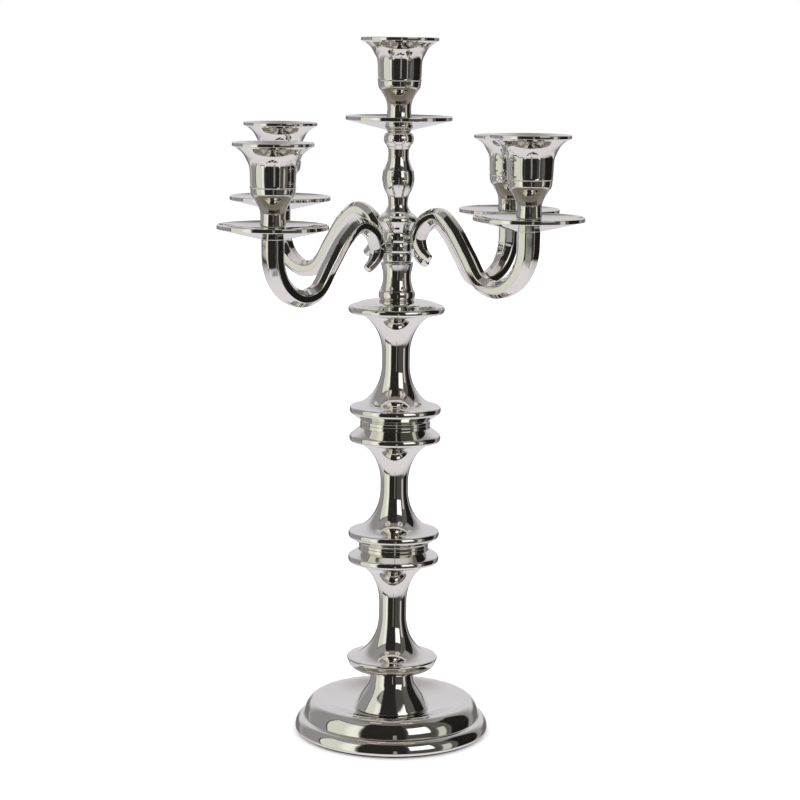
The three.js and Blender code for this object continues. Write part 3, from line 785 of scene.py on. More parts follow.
@dataclass
class Underside:
    """What draws the pillar together under the foot's dish: tie rod, nut and washer; and the felt ring."""

    thread: Thread
    bore: float = ROD_BORE
    nut_bore: float = 3.1
    nut_flats: float = 10.0
    nut_chamfer: float = 0.1
    nut_chamfer_angle: float = 30.0
    nut_steps: int = 144
    bore_margin: float = 0.35
    felt_round: float = 0.25
    felt_width: float = 5.0
    felt_inset: float = 0.15
    felt_trim: float = 0.14
    felt_waves: tuple[tuple[float, float, float], ...] = ((0.06, 17, 0.0), (0.05, 41, 1.0), (0.03, 90, 0.0))

    def tie_rod(self) -> bpy.types.Object:
        """Threaded rod from under the foot up into the baluster.

        Returns:
            The rod.
        """
        low = base_of("tie_rod")
        bar = ThreadedBar(self.thread)
        return make_object("tie_rod_threaded", [bar.surface(low, low + height_of("tie_rod"))])

    def washer(self) -> bpy.types.Object:
        """Flat ring with slightly rounded edges.

        Returns:
            The washer.
        """
        low, high = base_of("rod_washer"), base_of("rod_washer") + height_of("rod_washer")
        radius = radius_of("rod_washer")
        outline = line([self.bore, low], [radius, low], [radius, high], [self.bore, high])
        return make_object("rod_washer_turned", [turned(finish_outline([outline], 0.12), SMALL_SEGMENTS)])

    def nut(self) -> bpy.types.Object:
        """Hexagon nut: at each angle the radius is the hexagon's or the chamfer cone's, whichever is less.

        Returns:
            The nut.
        """
        low, high = base_of("rod_nut"), base_of("rod_nut") + height_of("rod_nut")
        half_flats = self.nut_flats / 2
        corner = half_flats / math.cos(math.pi / 6)
        outline = line([self.nut_bore, low], [corner, low], [corner, high], [self.nut_bore, high])
        profile = finish_outline([outline], 0.1, longest=0.5)
        rise = math.tan(math.radians(self.nut_chamfer_angle))

        def shape(angle: np.ndarray, points: Points) -> np.ndarray:
            """Radius to take off: a side lies half the flats over the cosine of the angle from its middle.

            Args:
                angle: Angles round the nut.
                points: The outline's points.

            Returns:
                The radius to take off at each angle and point.
            """
            from_flat = (angle[:, None] + np.pi / 6) % (np.pi / 3) - np.pi / 6
            side = np.broadcast_to(half_flats / np.cos(from_flat), (len(angle), len(points)))
            r, z = points[:, 0][None, :], points[:, 1][None, :]
            cone = half_flats - self.nut_chamfer + np.minimum(z - low, high - z) / rise
            outside = r > self.nut_bore + self.bore_margin
            return np.where(outside, (r - np.minimum(side, cone)).clip(0), 0.0)

        angles = np.linspace(0, 2 * np.pi, self.nut_steps, endpoint=False)
        return make_object("rod_nut_hexagon", [moved(turned(profile, shape=shape, angles=angles), turn=30)])

    def felt(self) -> bpy.types.Object:
        """Felt ring whose edges are soft and whose sides wander a little.

        Returns:
            The felt ring.
        """
        low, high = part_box("foot_felt_ring")
        base, top, outer = low[2] / MM, high[2] / MM, high[0] / MM
        inner = outer - self.felt_width
        side = outer - self.felt_inset
        profile = finish_outline([line([inner, base], [side, base], [side, top], [inner, top])],
                                 self.felt_round, longest=0.6)

        def shape(angle: np.ndarray, points: Points) -> np.ndarray:
            """Radius to take off: a few small waves round the ring.

            Args:
                angle: Angles round the ring.
                points: The outline's points.

            Returns:
                The radius to take off at each angle and point.
            """
            wander = sum(size * np.sin(count * angle + start) for size, count, start in self.felt_waves)
            return (wander + self.felt_trim)[:, None] * np.ones(len(points))[None, :]

        return make_object("foot_felt", [turned(profile, FOOT_SEGMENTS, shape)])

    def build(self, finishes: Finishes) -> None:
        """Makes and dresses the four pieces.

        Args:
            finishes: The shared materials.
        """
        dress(self.tie_rod(), finishes.steel, "tie_rod", "pillar")
        dress(self.washer(), finishes.steel, "rod_washer", "pillar")
        dress(self.nut(), finishes.steel, "rod_nut", "pillar")
        dress(self.felt(), finishes.felt, "foot_felt_ring", "pillar")


# ---- Foot ----


@dataclass
class Foot:
    """Hollow foot: rounded skirt, fine crease, convex shoulder, and a shallow dish round the pedestal.

    The dish falls along a smooth curve that still has the share dish_middle of its depth halfway in.
    """

    bore: float = ROD_BORE
    bulge: float = 2.0
    crease_inset: float = 5.1
    crease_step: float = 0.6
    crease_level: float = 10.4
    bulge_level: float = 3.4
    shoulder_width: float = 8.9
    dish_depth: float = 6.2
    rim_width: float = 6.5
    wall: float = 3.2
    boss_depth: float = 4.6
    boss_radius: float = 10.0
    seat_radius: float = 24.3
    seat_gap: float = SEAT_GAP
    dish_middle: float = 0.42
    fillet: float = 0.2

    def build(self, finishes: Finishes) -> None:
        """Makes and dresses the foot.

        Args:
            finishes: The shared materials.
        """
        base, radius = base_of("foot"), radius_of("foot")
        seat = base_of("pedestal_cone") - self.seat_gap
        rim = radius - self.bulge
        crease = radius - self.crease_inset
        shoulder = crease - self.shoulder_width
        skirt_rise = self.crease_level - 0.4 - self.bulge_level
        shoulder_top = seat + self.dish_depth
        hollow = rim - self.rim_width
        parts = [
            arc(rim, self.bulge_level, self.bulge, self.bulge_level - base, -90, 0),
            arc(crease, self.bulge_level, self.crease_inset, skirt_rise, 3, 88),
            arc(shoulder, self.crease_level, self.shoulder_width - self.crease_step,
                shoulder_top - self.crease_level, 0, 72),
            smooth([
                [shoulder - 0.4, shoulder_top - 0.15],
                [shoulder - 3, shoulder_top - 0.75],
                [(shoulder + self.seat_radius) / 2, seat + self.dish_middle * self.dish_depth],
                [self.seat_radius + 3, seat + 0.4],
                [self.seat_radius, seat],
            ]),
            line(
                [self.bore, seat],
                [self.bore, seat - self.boss_depth],
                [self.boss_radius, seat - self.boss_depth],
                [self.boss_radius + 2, seat - self.wall],
            ),
            smooth([
                [self.seat_radius, seat - self.wall],
                [shoulder - 5, shoulder_top - self.wall - 0.6],
                [shoulder - 1, shoulder_top - self.wall - 1],
                [hollow - 3.5, self.crease_level + 2],
                [hollow, base + 2],
                [hollow, base],
            ]),
        ]
        piece = make_object("foot_turned", [turned(finish_outline(parts, self.fillet), FOOT_SEGMENTS)])
        dress(piece, finishes.turned, "foot", "pillar")


# ---- Pillar ----


@dataclass
class Pillar:
    """The turned sections between the foot and the cap disc.

    The bell's side is given as fractions of its spread outwards and of its height.
    """

    bore: float = ROD_BORE
    shaft: float = 8.6
    flange: float = 28.3
    flange_round: float = 1.1
    flange_edge: float = 2.1
    flare_rise: float = 26.0
    flare_overrun: float = 0.9
    band_step: float = 6.6
    band_half: float = 2.1
    cone_foot: float = 23.3
    cone_top: float = 13.4
    cone_lip: float = 0.8
    cone_lip_rise: float = 0.9
    cone_side: tuple[tuple[float, float], ...] = (
        (0.985, 0.065), (0.91, 0.12), (0.77, 0.22), (0.61, 0.33), (0.41, 0.45), (0.22, 0.57), (0.06, 0.69),
        (0.0, 0.83), (0.0, 1.0),
    )
    saucer_depth: float = 8.2
    saucer_step: float = 1.8
    lower_waist: float = 64.0
    middle_waist: float = 60.7
    upper_waist: float = 59.4
    lower_collar: float = 15.4
    upper_collar: float = 17.4
    trumpet_flare: float = 0.72
    disc: float = 29.7
    disc_edge: float = 2.6
    neck_foot: float = 11.2
    fillet: float = 0.2

    @property
    def spread(self) -> float:
        """Width of the quarter ellipse from shaft to flange."""
        return self.flange - self.shaft + self.flare_overrun

    @property
    def band(self) -> float:
        """Radius of the plain band where two sections meet."""
        return self.flange - self.band_step

    def edge(self, level: float) -> Points:
        """Rounded edge of a flange, from its lower side to its upper."""
        return arc(self.flange - self.flange_round, level, self.flange_round, self.flange_edge, -70, 70)

    def waist(self, low: float, high: float) -> list[Points]:
        """Waist between two flanges: a quarter ellipse up from one and another into the next.

        Args:
            low, high: Levels of the two flanges.

        Returns:
            The lower and the upper quarter ellipse.
        """
        start, end = low + self.flange_edge, high - self.flange_edge
        centre = self.shaft + self.spread
        return [
            arc(centre, start + self.flare_rise, self.spread, self.flare_rise, 264, 180),
            arc(centre, end - self.flare_rise, self.spread, self.flare_rise, 180, 96),
        ]

    def band_end(self, level: float, towards: float) -> Points:
        """Half of the plain band, ending at a level.

        Args:
            level: The section's end.
            towards: 1 where the end is the section's top, -1 where it is its foot.

        Returns:
            The band's outline, from below to above.
        """
        inner = level - towards * self.band_half
        points = line([self.band, inner], [self.band, level])
        return points if towards > 0 else points[::-1]

    def add(self, node: str, parts: Sequence[Points], finishes: Finishes) -> None:
        """Turns an outline whose base is at level 0 and stands it for its node."""
        surface = moved(turned(finish_outline(parts, self.fillet)), z=base_of(node))
        dress(make_object(f"{node}_turned", [surface]), finishes.turned, node, "pillar")

    def cone(self, finishes: Finishes) -> None:
        """Bell between the foot and the saucer: rounded foot, sloping side, upright throat.

        Args:
            finishes: The shared materials.
        """
        top = height_of("pedestal_cone")
        spread = self.cone_foot - self.cone_top
        side = np.array(self.cone_side) * [spread, top] + [self.cone_top, 0]
        lip, rise = self.cone_lip, self.cone_lip_rise
        self.add("pedestal_cone", [
            line([self.bore, 0]),
            arc(self.cone_foot - lip, rise, lip, rise, -90, 20),
            smooth(side),
            line([self.bore, top]),
        ], finishes)

    def lower(self, finishes: Finishes) -> None:
        """Lower section: saucer, waist, and a flange with its share of the band.

        Args:
            finishes: The shared materials.
        """
        top = height_of("spool_lower")
        saucer = self.saucer_depth
        flange = saucer + self.lower_waist
        seat = self.cone_top + self.saucer_step
        depth = saucer - self.flange_edge
        rim = self.flange_edge / 2
        self.add("spool_lower", [
            line([self.bore, 0], [seat, 0]),
            arc(seat, depth, self.flange - seat - 0.9, depth, -66, -12),
            arc(self.flange - self.flange_round, saucer, self.flange_round, rim, -30, 70),
            *self.waist(saucer - rim, flange),
            self.edge(flange),
            self.band_end(top, 1),
            line([self.bore, top]),
        ], finishes)

    def middle(self, finishes: Finishes) -> None:
        """Middle section: a flange and half a band at each end of the waist.

        Args:
            finishes: The shared materials.
        """
        top = height_of("spool_middle")
        low = self.lower_collar / 2
        high = low + self.middle_waist
        self.add("spool_middle", [
            line([self.bore, 0]),
            self.band_end(0, -1),
            self.edge(low),
            *self.waist(low, high),
            self.edge(high),
            self.band_end(top, 1),
            line([self.bore, top]),
        ], finishes)

    def upper(self, finishes: Finishes) -> None:
        """Upper section: half a band and a flange below, and a trumpet that carries the cap disc.

        Args:
            finishes: The shared materials.
        """
        top = height_of("spool_upper")
        low = self.upper_collar / 2
        rise, flare = self.waist(low, top + self.flange_edge + 1)
        self.add("spool_upper", [
            line([self.bore, 0]),
            self.band_end(0, -1),
            self.edge(low),
            rise,
            flare[flare[:, 1] < top - 0.2],
            line([self.shaft + self.spread * self.trumpet_flare, top], [self.bore, top]),
        ], finishes)

    def cap_disc(self, finishes: Finishes) -> None:
        """Domed disc with a rolled edge.

        Args:
            finishes: The shared materials.
        """
        top = height_of("cap_disc")
        self.add("cap_disc", [
            line([self.bore, 0], [self.disc - 4, 0]),
            arc(self.disc - 2, self.disc_edge, 2, self.disc_edge - 0.2, -78, 55),
            arc(self.neck_foot, self.disc_edge, self.disc - self.neck_foot - 1, top - self.disc_edge,
                32, 88),
            line([self.bore, top]),
        ], finishes)

    def build(self, finishes: Finishes) -> None:
        """Makes and dresses the five sections.

        Args:
            finishes: The shared materials.
        """
        self.cone(finishes)
        self.lower(finishes)
        self.middle(finishes)
        self.upper(finishes)
        self.cap_disc(finishes)


@dataclass
class Stem:
    """What clamps the arms: the neck with its spigot below, and the baluster that screws down on them."""

    bore: float = ROD_BORE
    stud_bore: float = STUD_BORE
    neck: float = 8.85
    neck_foot: float = 11.2
    ring: float = 8.9
    ring_height: float = 5.6
    spigot: float = 5.4
    spigot_height: float = 12.6
    belly: float = 9.8
    cap: float = 12.3
    throat: float = 5.8
    head: float = 7.6
    rod_room: float = 24.0
    stud_room: float = 10.0
    fillet: float = 0.16

    def branch_neck(self, finishes: Finishes) -> None:
        """Neck with its foot ring and top ring, and the spigot that the arm collars turn on.

        Args:
            finishes: The shared materials.
        """
        base = base_of("branch_neck")
        shoulder = height_of("branch_neck") - self.spigot_height
        ring_base = shoulder - self.ring_height
        side = self.ring - 0.5
        parts = [
            line([self.bore, 0], [self.neck_foot - 0.6, 0]),
            arc(self.neck_foot - 1, 3.2, 1, 2.8, -70, 80),
            smooth([
                [self.neck + 1.0, 7.0],
                [self.neck + 0.1, 10.5],
                [self.neck - 0.3, 14.0],
                [self.neck, 17.5],
                [self.neck + 1.2, ring_base - 0.8],
            ]),
            line([self.neck + 0.6, ring_base - 0.2], [side - 0.2, ring_base]),
            arc(side, ring_base + self.ring_height / 2, 0.5, self.ring_height / 2 - 0.2, -70, 70),
            line(
                [side - 0.2, shoulder],
                [self.spigot, shoulder],
                [self.spigot, shoulder + self.spigot_height],
                [self.bore, shoulder + self.spigot_height],
            ),
        ]
        surface = moved(turned(finish_outline(parts, self.fillet), NECK_SEGMENTS), z=base)
        piece = make_object("branch_neck_turned", [surface])
        dress(piece, finishes.turned, "branch_neck", "pillar")

    def baluster(self, finishes: Finishes) -> None:
        """Cap, neck, vase, throat and bead, bored below for the rod and above for the stud.

        Args:
            finishes: The shared materials.
        """
        base, top = base_of("baluster"), height_of("baluster")
        throat, belly, head, cap = self.throat, self.belly, self.head, self.cap
        parts = [
            line([0, self.rod_room], [self.bore, self.rod_room], [self.bore, 0], [self.ring - 0.1, 0]),
            line([self.ring + 0.3, 1.4]),
            smooth([[self.ring + 1.1, 2.6], [cap - 0.7, 5.2], [cap, 7], [cap - 0.3, 8.6]]),
            smooth([[cap - 1.4, 9.8], [head + 0.5, 12], [head - 1, 14.4]]),
            smooth([
                [throat, 16.4],
                [throat + 0.2, 18.6],
                [throat + 0.8, 22],
                [belly - 1.2, 26.2],
                [belly, 31.6],
                [belly - 0.5, 37],
            ]),
            smooth([[belly - 1.6, 38.9], [throat + 0.7, 43.6], [throat + 0.4, 47], [throat + 0.6, 50.2]]),
            line([head - 0.5, top - 10.4], [head - 0.3, top - 9.6]),
            arc(head, top - 5.4, 1.5, 3.4, -78, 78),
            line([head - 0.7, top - 1.6], [head - 0.7, top - 0.9], [head, top - 0.5], [head, top]),
            line([self.stud_bore, top], [self.stud_bore, top - self.stud_room], [0, top - self.stud_room]),
        ]
        profile = finish_outline(parts, self.fillet, closed=False)
        surface = moved(turned(profile), z=base)
        dress(make_object("baluster_turned", [surface]), finishes.turned, "baluster", "pillar")

    def build(self, finishes: Finishes) -> None:
        """Makes and dresses the neck and the baluster."""
        self.branch_neck(finishes)
        self.baluster(finishes)


# ---- Double arms ----


@dataclass
class DoubleArm:
    """One casting: a collar with an arm each way, faceted, with a broad scroll beside the collar.

    Half widths are the octagon's: half along the arm, scroll_half in the scroll, end_half under the pan and
    tip_half at the scroll's tip. Scroll_slimming is the share that the scroll loses in its height and width.
    """

    node: str
    body: str
    pan: str
    azimuth: float
    seat_gap: float = SEAT_GAP
    reach: float = 104.0
    collar_radius: float = 8.9
    collar_height: float = 6.2
    collar_round: float = 0.7
    collar_fillet: float = 0.15
    spigot_bore: float = 5.52
    web_width: float = 7.0
    end_rise: float = 10.7
    drop: float = 25.4
    arch: float = 14.8
    half: float = 5.0
    end_half: float = 6.6
    tip_half: float = 3.0
    tip_cap: float = 1.4
    scroll_slimming: tuple[float, float] = (0.14, 0.24)
    scroll_half: float = 6.2
    scroll_gap: float = 2.3
    end_edge: float = 0.5
    stud_bore: float = STUD_BORE
    stud_room: float = 10.0
    facet_sharpness: float = 46.0
    path_steps: int = 40
    scroll_span: float = 0.3

    def centre_line(self) -> Points:
        """Centre line from the scroll's tip over the arch, down and out, and up to the end.

        Returns:
            Points of distance from the axis and level over the collar's middle.
        """
        low = -self.drop
        scroll = self.collar_radius + self.scroll_gap + self.scroll_half
        shoulder = np.array([scroll + 28.2, self.arch - 7.8])
        shin = np.array([self.reach - 35, low + 2.8])
        end = self.end_rise
        return smooth([
            [scroll + 9.4, -12],
            [scroll + 3.4, -7.6],
            [scroll, 0],
            [scroll + 5.2, self.arch - 4.6],
            [scroll + 16.6, self.arch],
            shoulder,
            (shoulder + shin) / 2,
            shin,
            [self.reach - 21.5, low],
            [self.reach - 7.6, low + 7.6],
            [self.reach - 0.8, -5],
            [self.reach, end - 4],
            [self.reach, end + 4],
        ], self.path_steps)

    def half_thickness(self, fraction: np.ndarray) -> np.ndarray:
        """Half thickness along the arm: thin tip, broad scroll, slimmer arm, thicker end.

        Args:
            fraction: Fractions of the arm's length from the tip.

        Returns:
            The half thickness at each.
        """
        scroll = (self.scroll_half - self.half) * (1 - eased((fraction - 0.12) / 0.12))
        end = (self.end_half - self.half) * eased((fraction - 0.6) / 0.35)
        tip = (self.scroll_half - self.tip_half) * (1 - eased((fraction + 0.02) / 0.15))
        return self.half + scroll + end - tip

    def section(self, around: int) -> np.ndarray:
        """Radius of a unit octagon with softened corners at each angle.

        It is the inverse of the p-norm of the four facet directions' cosines, with p the facets' sharpness.

        Args:
            around: How many angles.

        Returns:
            The radius at each angle.
        """
        a = np.linspace(0, 2 * np.pi, around, endpoint=False)
        cosines = np.abs(np.cos(a[:, None] - np.arange(4)[None, :] * np.pi / 4))
        return (cosines**self.facet_sharpness).sum(axis=1) ** (-1 / self.facet_sharpness)

    def bar(self, around: int = 128, along: int = 240) -> Surface:
        """One arm: softened octagons across the centre line, closed at the tip and holed at the end.

        Each point is centre + thickness * radius * (cos a * normal + sin a * sideways).

        Args:
            around: Points round the section.
            along: Sections along the arm.

        Returns:
            The closed surface of the arm with its stud hole.
        """
        path = self.centre_line()
        length = np.concatenate([[0.0], np.cumsum(np.linalg.norm(np.diff(path, axis=0), axis=1))])
        path_end = np.interp(self.end_rise, path[-60:, 1], length[-60:])
        cap = self.tip_cap * np.linspace(0, 1, 9) ** 2
        s = np.concatenate([cap, np.linspace(self.tip_cap, path_end, along)[1:]])
        centre = np.stack([np.interp(s, length, path[:, 0]), np.interp(s, length, path[:, 1])], axis=1)
        tangent = np.gradient(centre, axis=0)
        tangent /= np.linalg.norm(tangent, axis=1, keepdims=True)
        tangent[-6:] = [0.0, 1.0]
        size = self.half_thickness(s / length[-1])
        inward = 1 - (s / self.tip_cap).clip(0, 1)
        size = size * (1 - inward**3).clip(0.0) ** (1 / 3)
        roundness = np.zeros(len(s))
        # The end face, its rounded edge and the stud hole carry the same grid on.
        fillet = np.radians(np.linspace(0, 90, 7))
        last = size[-1]
        edge = self.end_edge
        extra = [
            (self.end_rise - edge + edge * np.sin(f), last - edge + edge * np.cos(f), 0.0) for f in fillet
        ]
        extra += [
            (self.end_rise, self.stud_bore + 1.4, 0.75),
            (self.end_rise, self.stud_bore + 0.3, 1.0),
            (self.end_rise - 0.3, self.stud_bore, 1.0),
            (self.end_rise - self.stud_room, self.stud_bore, 1.0),
            (self.end_rise - self.stud_room, 0.0, 1.0),
        ]
        keep = centre[:, 1] < self.end_rise - edge - 0.05
        keep[: along // 2] = True
        levels, sizes, rounds = (np.array(column) for column in zip(*extra))
        ends = np.stack([np.full_like(levels, self.reach), levels], axis=1)
        centre = np.vstack([centre[keep], ends])
        upward = np.tile([0.0, 1.0], (len(levels), 1))
        tangent = np.vstack([tangent[keep], upward])
        size = np.concatenate([size[keep], sizes])
        roundness = np.concatenate([roundness[keep], rounds])
        a = np.linspace(0, 2 * np.pi, around, endpoint=False)
        octagon = self.section(around)[:, None]
        radius = (octagon * (1 - roundness) + roundness) * size
        scroll = 1 - eased(s / length[-1] / self.scroll_span - self.scroll_span)
        scroll = np.concatenate([scroll[keep], np.zeros(len(levels))])
        across = (1 - self.scroll_slimming[0] * scroll) * radius * np.cos(a)[:, None]
        side = (1 - self.scroll_slimming[1] * scroll) * radius * np.sin(a)[:, None]
        grid = np.stack([
            centre[:, 0] - tangent[:, 1] * across,
            side,
            centre[:, 1] + tangent[:, 0] * across,
        ], axis=-1)
        grid = np.concatenate([pole(grid, 0), grid], axis=1)
        return Surface(grid, np.zeros(grid.shape[:2]), False)

    def collar(self) -> Surface:
        """Ring round the spigot.

        Returns:
            The ring's surface.
        """
        half = self.collar_height / 2
        side = self.collar_radius - self.collar_round
        parts = [
            line([self.spigot_bore, -half], [side, -half]),
            arc(side, 0, self.collar_round, half - 0.4, -70, 70),
            line([side, half], [self.spigot_bore, half]),
        ]
        return turned(finish_outline(parts, self.collar_fillet), COLLAR_SEGMENTS)

    def web(self, side: float) -> Surface:
        """Rounded bridge from the collar to one scroll: a superellipse section, deeper towards the scroll.

        Args:
            side: Which scroll: 0 or 180 degrees.

        Returns:
            The bridge's surface.
        """
        a = np.linspace(0, 2 * np.pi, 64, endpoint=False)[:, None]
        t = np.linspace(0, 1, 16)[None, :]
        start = self.spigot_bore + 1.2
        end = self.collar_radius + self.scroll_gap + 0.75 * self.scroll_half
        x = start + (end - start) * t
        flare = 1 + 0.5 * t**2
        half_width = self.web_width / 2 * flare
        half_height = (self.collar_height / 2 - 0.4) * np.where(x < self.collar_radius + 0.6, 1, flare)
        c, s = np.cos(a), np.sin(a)
        y = half_width * np.sign(c) * np.abs(c) ** 0.5
        z = half_height * np.sign(s) * np.abs(s) ** 0.5
        grid = np.stack([np.broadcast_to(x, y.shape), y, z], axis=-1)
        grid = np.concatenate([pole(grid, 0), grid, pole(grid, -1)], axis=1)
        return moved(Surface(grid, np.zeros(grid.shape[:2]), False), turn=side)

    def build(self, finishes: Finishes) -> None:
        """Joins collar, webs and arms into one casting and dresses it.

        Args:
            finishes: The shared materials.
        """
        level = base_of(self.pan) - self.seat_gap - self.end_rise
        bar = self.bar()
        surfaces = [self.collar(), self.web(0), self.web(180), bar, moved(bar, turn=180)]
        placed = [moved(s, z=level, turn=self.azimuth) for s in surfaces]
        piece = joined(f"{self.node}_cast", placed)
        dress(piece, finishes.cast, self.node, self.body)


# ---- Lights: pan, stud and cup ----


@dataclass
class DripPan:
    """Shallow spun dish with an upright band for a rim."""

    seat: float = 9.4
    bore: float = STUD_BORE
    floor: float = 2.5
    rim: float = 2.6
    flat: float = 9.6
    fillet: float = 0.16

    def surface(self, radius: float, depth: float) -> Surface:
        """The dish, its base at level 0.

        Args:
            radius: Its greatest radius.
            depth: Its height.

        Returns:
            The closed surface.
        """
        rim_base = depth - self.rim
        parts = [
            line([self.bore, 0], [self.seat, 0]),
            smooth([
                [self.seat + 0.5, 0.25],
                [radius * 0.45, 1.35],
                [radius * 0.7, 3.25],
                [radius * 0.88, 4.75],
                [radius - 0.6, rim_base - 0.1],
            ]),
            line(
                [radius, rim_base + 0.15],
                [radius, depth - 0.35],
                [radius - 0.5, depth],
                [radius - 1.1, depth],
                [radius - 1.5, depth - 0.5],
            ),
            smooth([
                [radius - 2.4, depth - 1.2],
                [radius * 0.8, 5.55],
                [radius * 0.62, 4.2],
                [radius * 0.42, 2.95],
                [self.flat, self.floor],
            ]),
            line([self.bore, self.floor]),
        ]
        return turned(finish_outline(parts, self.fillet))


@dataclass
class CandleCup:
    """Candle cup: a stem that widens to a bowl with arched panels, a flared lip, and the candle's socket."""

    bore: float = STUD_BORE
    stud_room: float = 9.0
    stem: float = 7.2
    wall: float = 2.7
    candle: float = 11.1
    bowl_base: float = 22.3
    bowl_height: float = 19.0
    socket_depth: float = 23.5
    lip: float = 2.4
    panels: int = 8
    panel_half_angle: float = 18.6
    panel_step: float = 0.22
    panel_flatness: float = 0.45
    panel_edge: float = 0.3
    panel_foot: float = 4.9
    panel_top: float = 20.4
    panel_arch: float = 5.2
    edge_band: float = 1.6
    fillet: float = 0.15
    longest: float = 0.9

    def profile(self, radius: float, top: float) -> Profile:
        """The cup's outline from the stud hole's floor, down the hole, up the outside and down the socket.

        Args:
            radius: The lip's radius.
            top: The cup's height.

        Returns:
            The finished profile, ending on the axis.
        """
        bowl = self.candle + self.wall
        base = self.bowl_base
        flare = base + self.bowl_height
        rim = top - self.lip
        floor = top - self.socket_depth
        parts = [
            line([0, self.stud_room], [self.bore, self.stud_room], [self.bore, 0], [self.stem, 0]),
            smooth([
                [self.stem + 0.5, 0.8],
                [self.stem + 0.3, 5],
                [self.stem, 10],
                [self.stem + 0.4, 13.6],
                [self.stem + 1.7, 16.8],
                [bowl - 3.1, base - 2.5],
                [bowl - 2.3, base - 1.4],
            ]),
            smooth([
                [bowl - 1.8, base - 0.9],
                [bowl - 1.1, base + 0.6],
                [bowl - 0.8, base + 2.4],
                [bowl - 0.7, base + 4.2],
            ]),
            smooth([
                [bowl - 0.4, base + 4.5],
                [bowl - 0.1, base + 7],
                [bowl + 0.3, flare - 3.5],
                [bowl + 1.2, flare],
                [bowl + 3.6, flare + 4.6],
                [radius - 2.2, rim - 0.7],
            ]),
            line([radius, rim + 0.4], [radius, top - 0.35], [radius - 0.4, top], [radius - 1.6, top]),
            smooth([
                [radius - 2.6, top - 0.5],
                [self.candle + 4.6, rim - 1.4],
                [self.candle + 1.2, flare + 2.2],
                [self.candle, flare - 1.5],
            ]),
            line([self.candle, floor], [0, floor]),
        ]
        return finish_outline(parts, self.fillet, closed=False, longest=self.longest)

    def angles(self) -> np.ndarray:
        """Angles round the cup: close together at the panels' edges and wider apart on ribs and panels.

        Returns:
            The angles in radians.
        """
        half_pitch = 180 / self.panels
        inside, outside = self.panel_half_angle - self.edge_band, self.panel_half_angle + self.edge_band
        right = np.concatenate([
            np.linspace(0, inside, 9, endpoint=False),
            np.linspace(inside, outside, 8, endpoint=False),
            np.linspace(outside, half_pitch, 3, endpoint=False),
        ])
        one = np.concatenate([-right[:0:-1], right, [half_pitch]])
        middles = np.arange(self.panels)[:, None] * 2 * half_pitch
        return np.radians((middles + one[None, :]).ravel() - 90.0)

    def panel_cut(self, angle: np.ndarray, points: Points) -> np.ndarray:
        """Radius that the panels take off.

        A panel is a flattened facet whose upright edges lie a small step below the round bowl. It is masked
        by eased steps at its foot, at its sides, and at an arched head, a half ellipse over its width.

        Args:
            angle: Angles round the cup.
            points: The outline's points.

        Returns:
            The radius to take off at each angle and point.
        """
        half_pitch = np.pi / self.panels
        edge = math.radians(self.panel_half_angle)
        off = (angle[:, None] + np.pi / 2 + half_pitch) % (2 * half_pitch) - half_pitch
        r, z = points[:, 0][None, :], points[:, 1][None, :]
        foot = self.bowl_base + self.panel_foot
        head = self.bowl_base + self.panel_top
        share = (np.abs(off) / edge).clip(0, 1)
        top = head - self.panel_arch * (1 - np.sqrt(1 - share**2))
        inside = [(edge - np.abs(off)) * r, z - foot, top - z]
        mask = math.prod(eased(distance / self.panel_edge) for distance in inside)
        flat = self.panel_flatness * r * (1 - math.cos(edge) / np.cos(off))
        return np.where(r > self.candle + 1.2, mask * (flat + self.panel_step), 0.0)

    def surface(self, radius: float, top: float) -> Surface:
        """The cup's surface, its seat at level 0."""
        return turned(self.profile(radius, top), shape=self.panel_cut, angles=self.angles())


@dataclass
class Light:
    """One light: its pan, stud and cup, at one place."""

    place: str
    host: str
    pan: DripPan
    cup: CandleCup
    thread: Thread

    def build(self, finishes: Finishes) -> None:
        """Makes and dresses the pan, the stud and the cup.

        Args:
            finishes: The shared materials.
        """
        kinds = ("drip_pan", "cup_stud", "candle_cup")
        pan_node, stud_node, cup_node = (f"{kind}_{self.place}" for kind in kinds)
        low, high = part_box(pan_node)
        x, y = (float(low[i] + high[i]) / 2 / MM for i in range(2))
        pan = self.pan.surface(radius_of(pan_node), height_of(pan_node))
        cup = self.cup.surface(radius_of(cup_node), height_of(cup_node))
        stud_base = base_of(stud_node)
        bar = ThreadedBar(self.thread, STUD_SEGMENTS, STUD_STEPS)
        stud = bar.surface(stud_base, stud_base + height_of(stud_node))
        pan_piece = make_object(f"{pan_node}_spun", [moved(pan, x, y, base_of(pan_node))])
        stud_piece = make_object(f"{stud_node}_threaded", [moved(stud, x, y)])
        cup_piece = make_object(f"{cup_node}_turned", [moved(cup, x, y, base_of(cup_node))])
        dress(pan_piece, finishes.turned, pan_node, self.host)
        dress(stud_piece, finishes.steel, stud_node, f"stud_{self.place}")
        dress(cup_piece, finishes.turned, cup_node, f"cup_{self.place}")


# ---- Studio ----


@dataclass(frozen=True)
class Reflector:
    """A soft-edged rectangle of the studio, in degrees as seen from the candelabra, and its colour."""

    azimuth: tuple[float, float]
    elevation: tuple[float, float]
    colour: tuple[float, float, float]
    soft: float


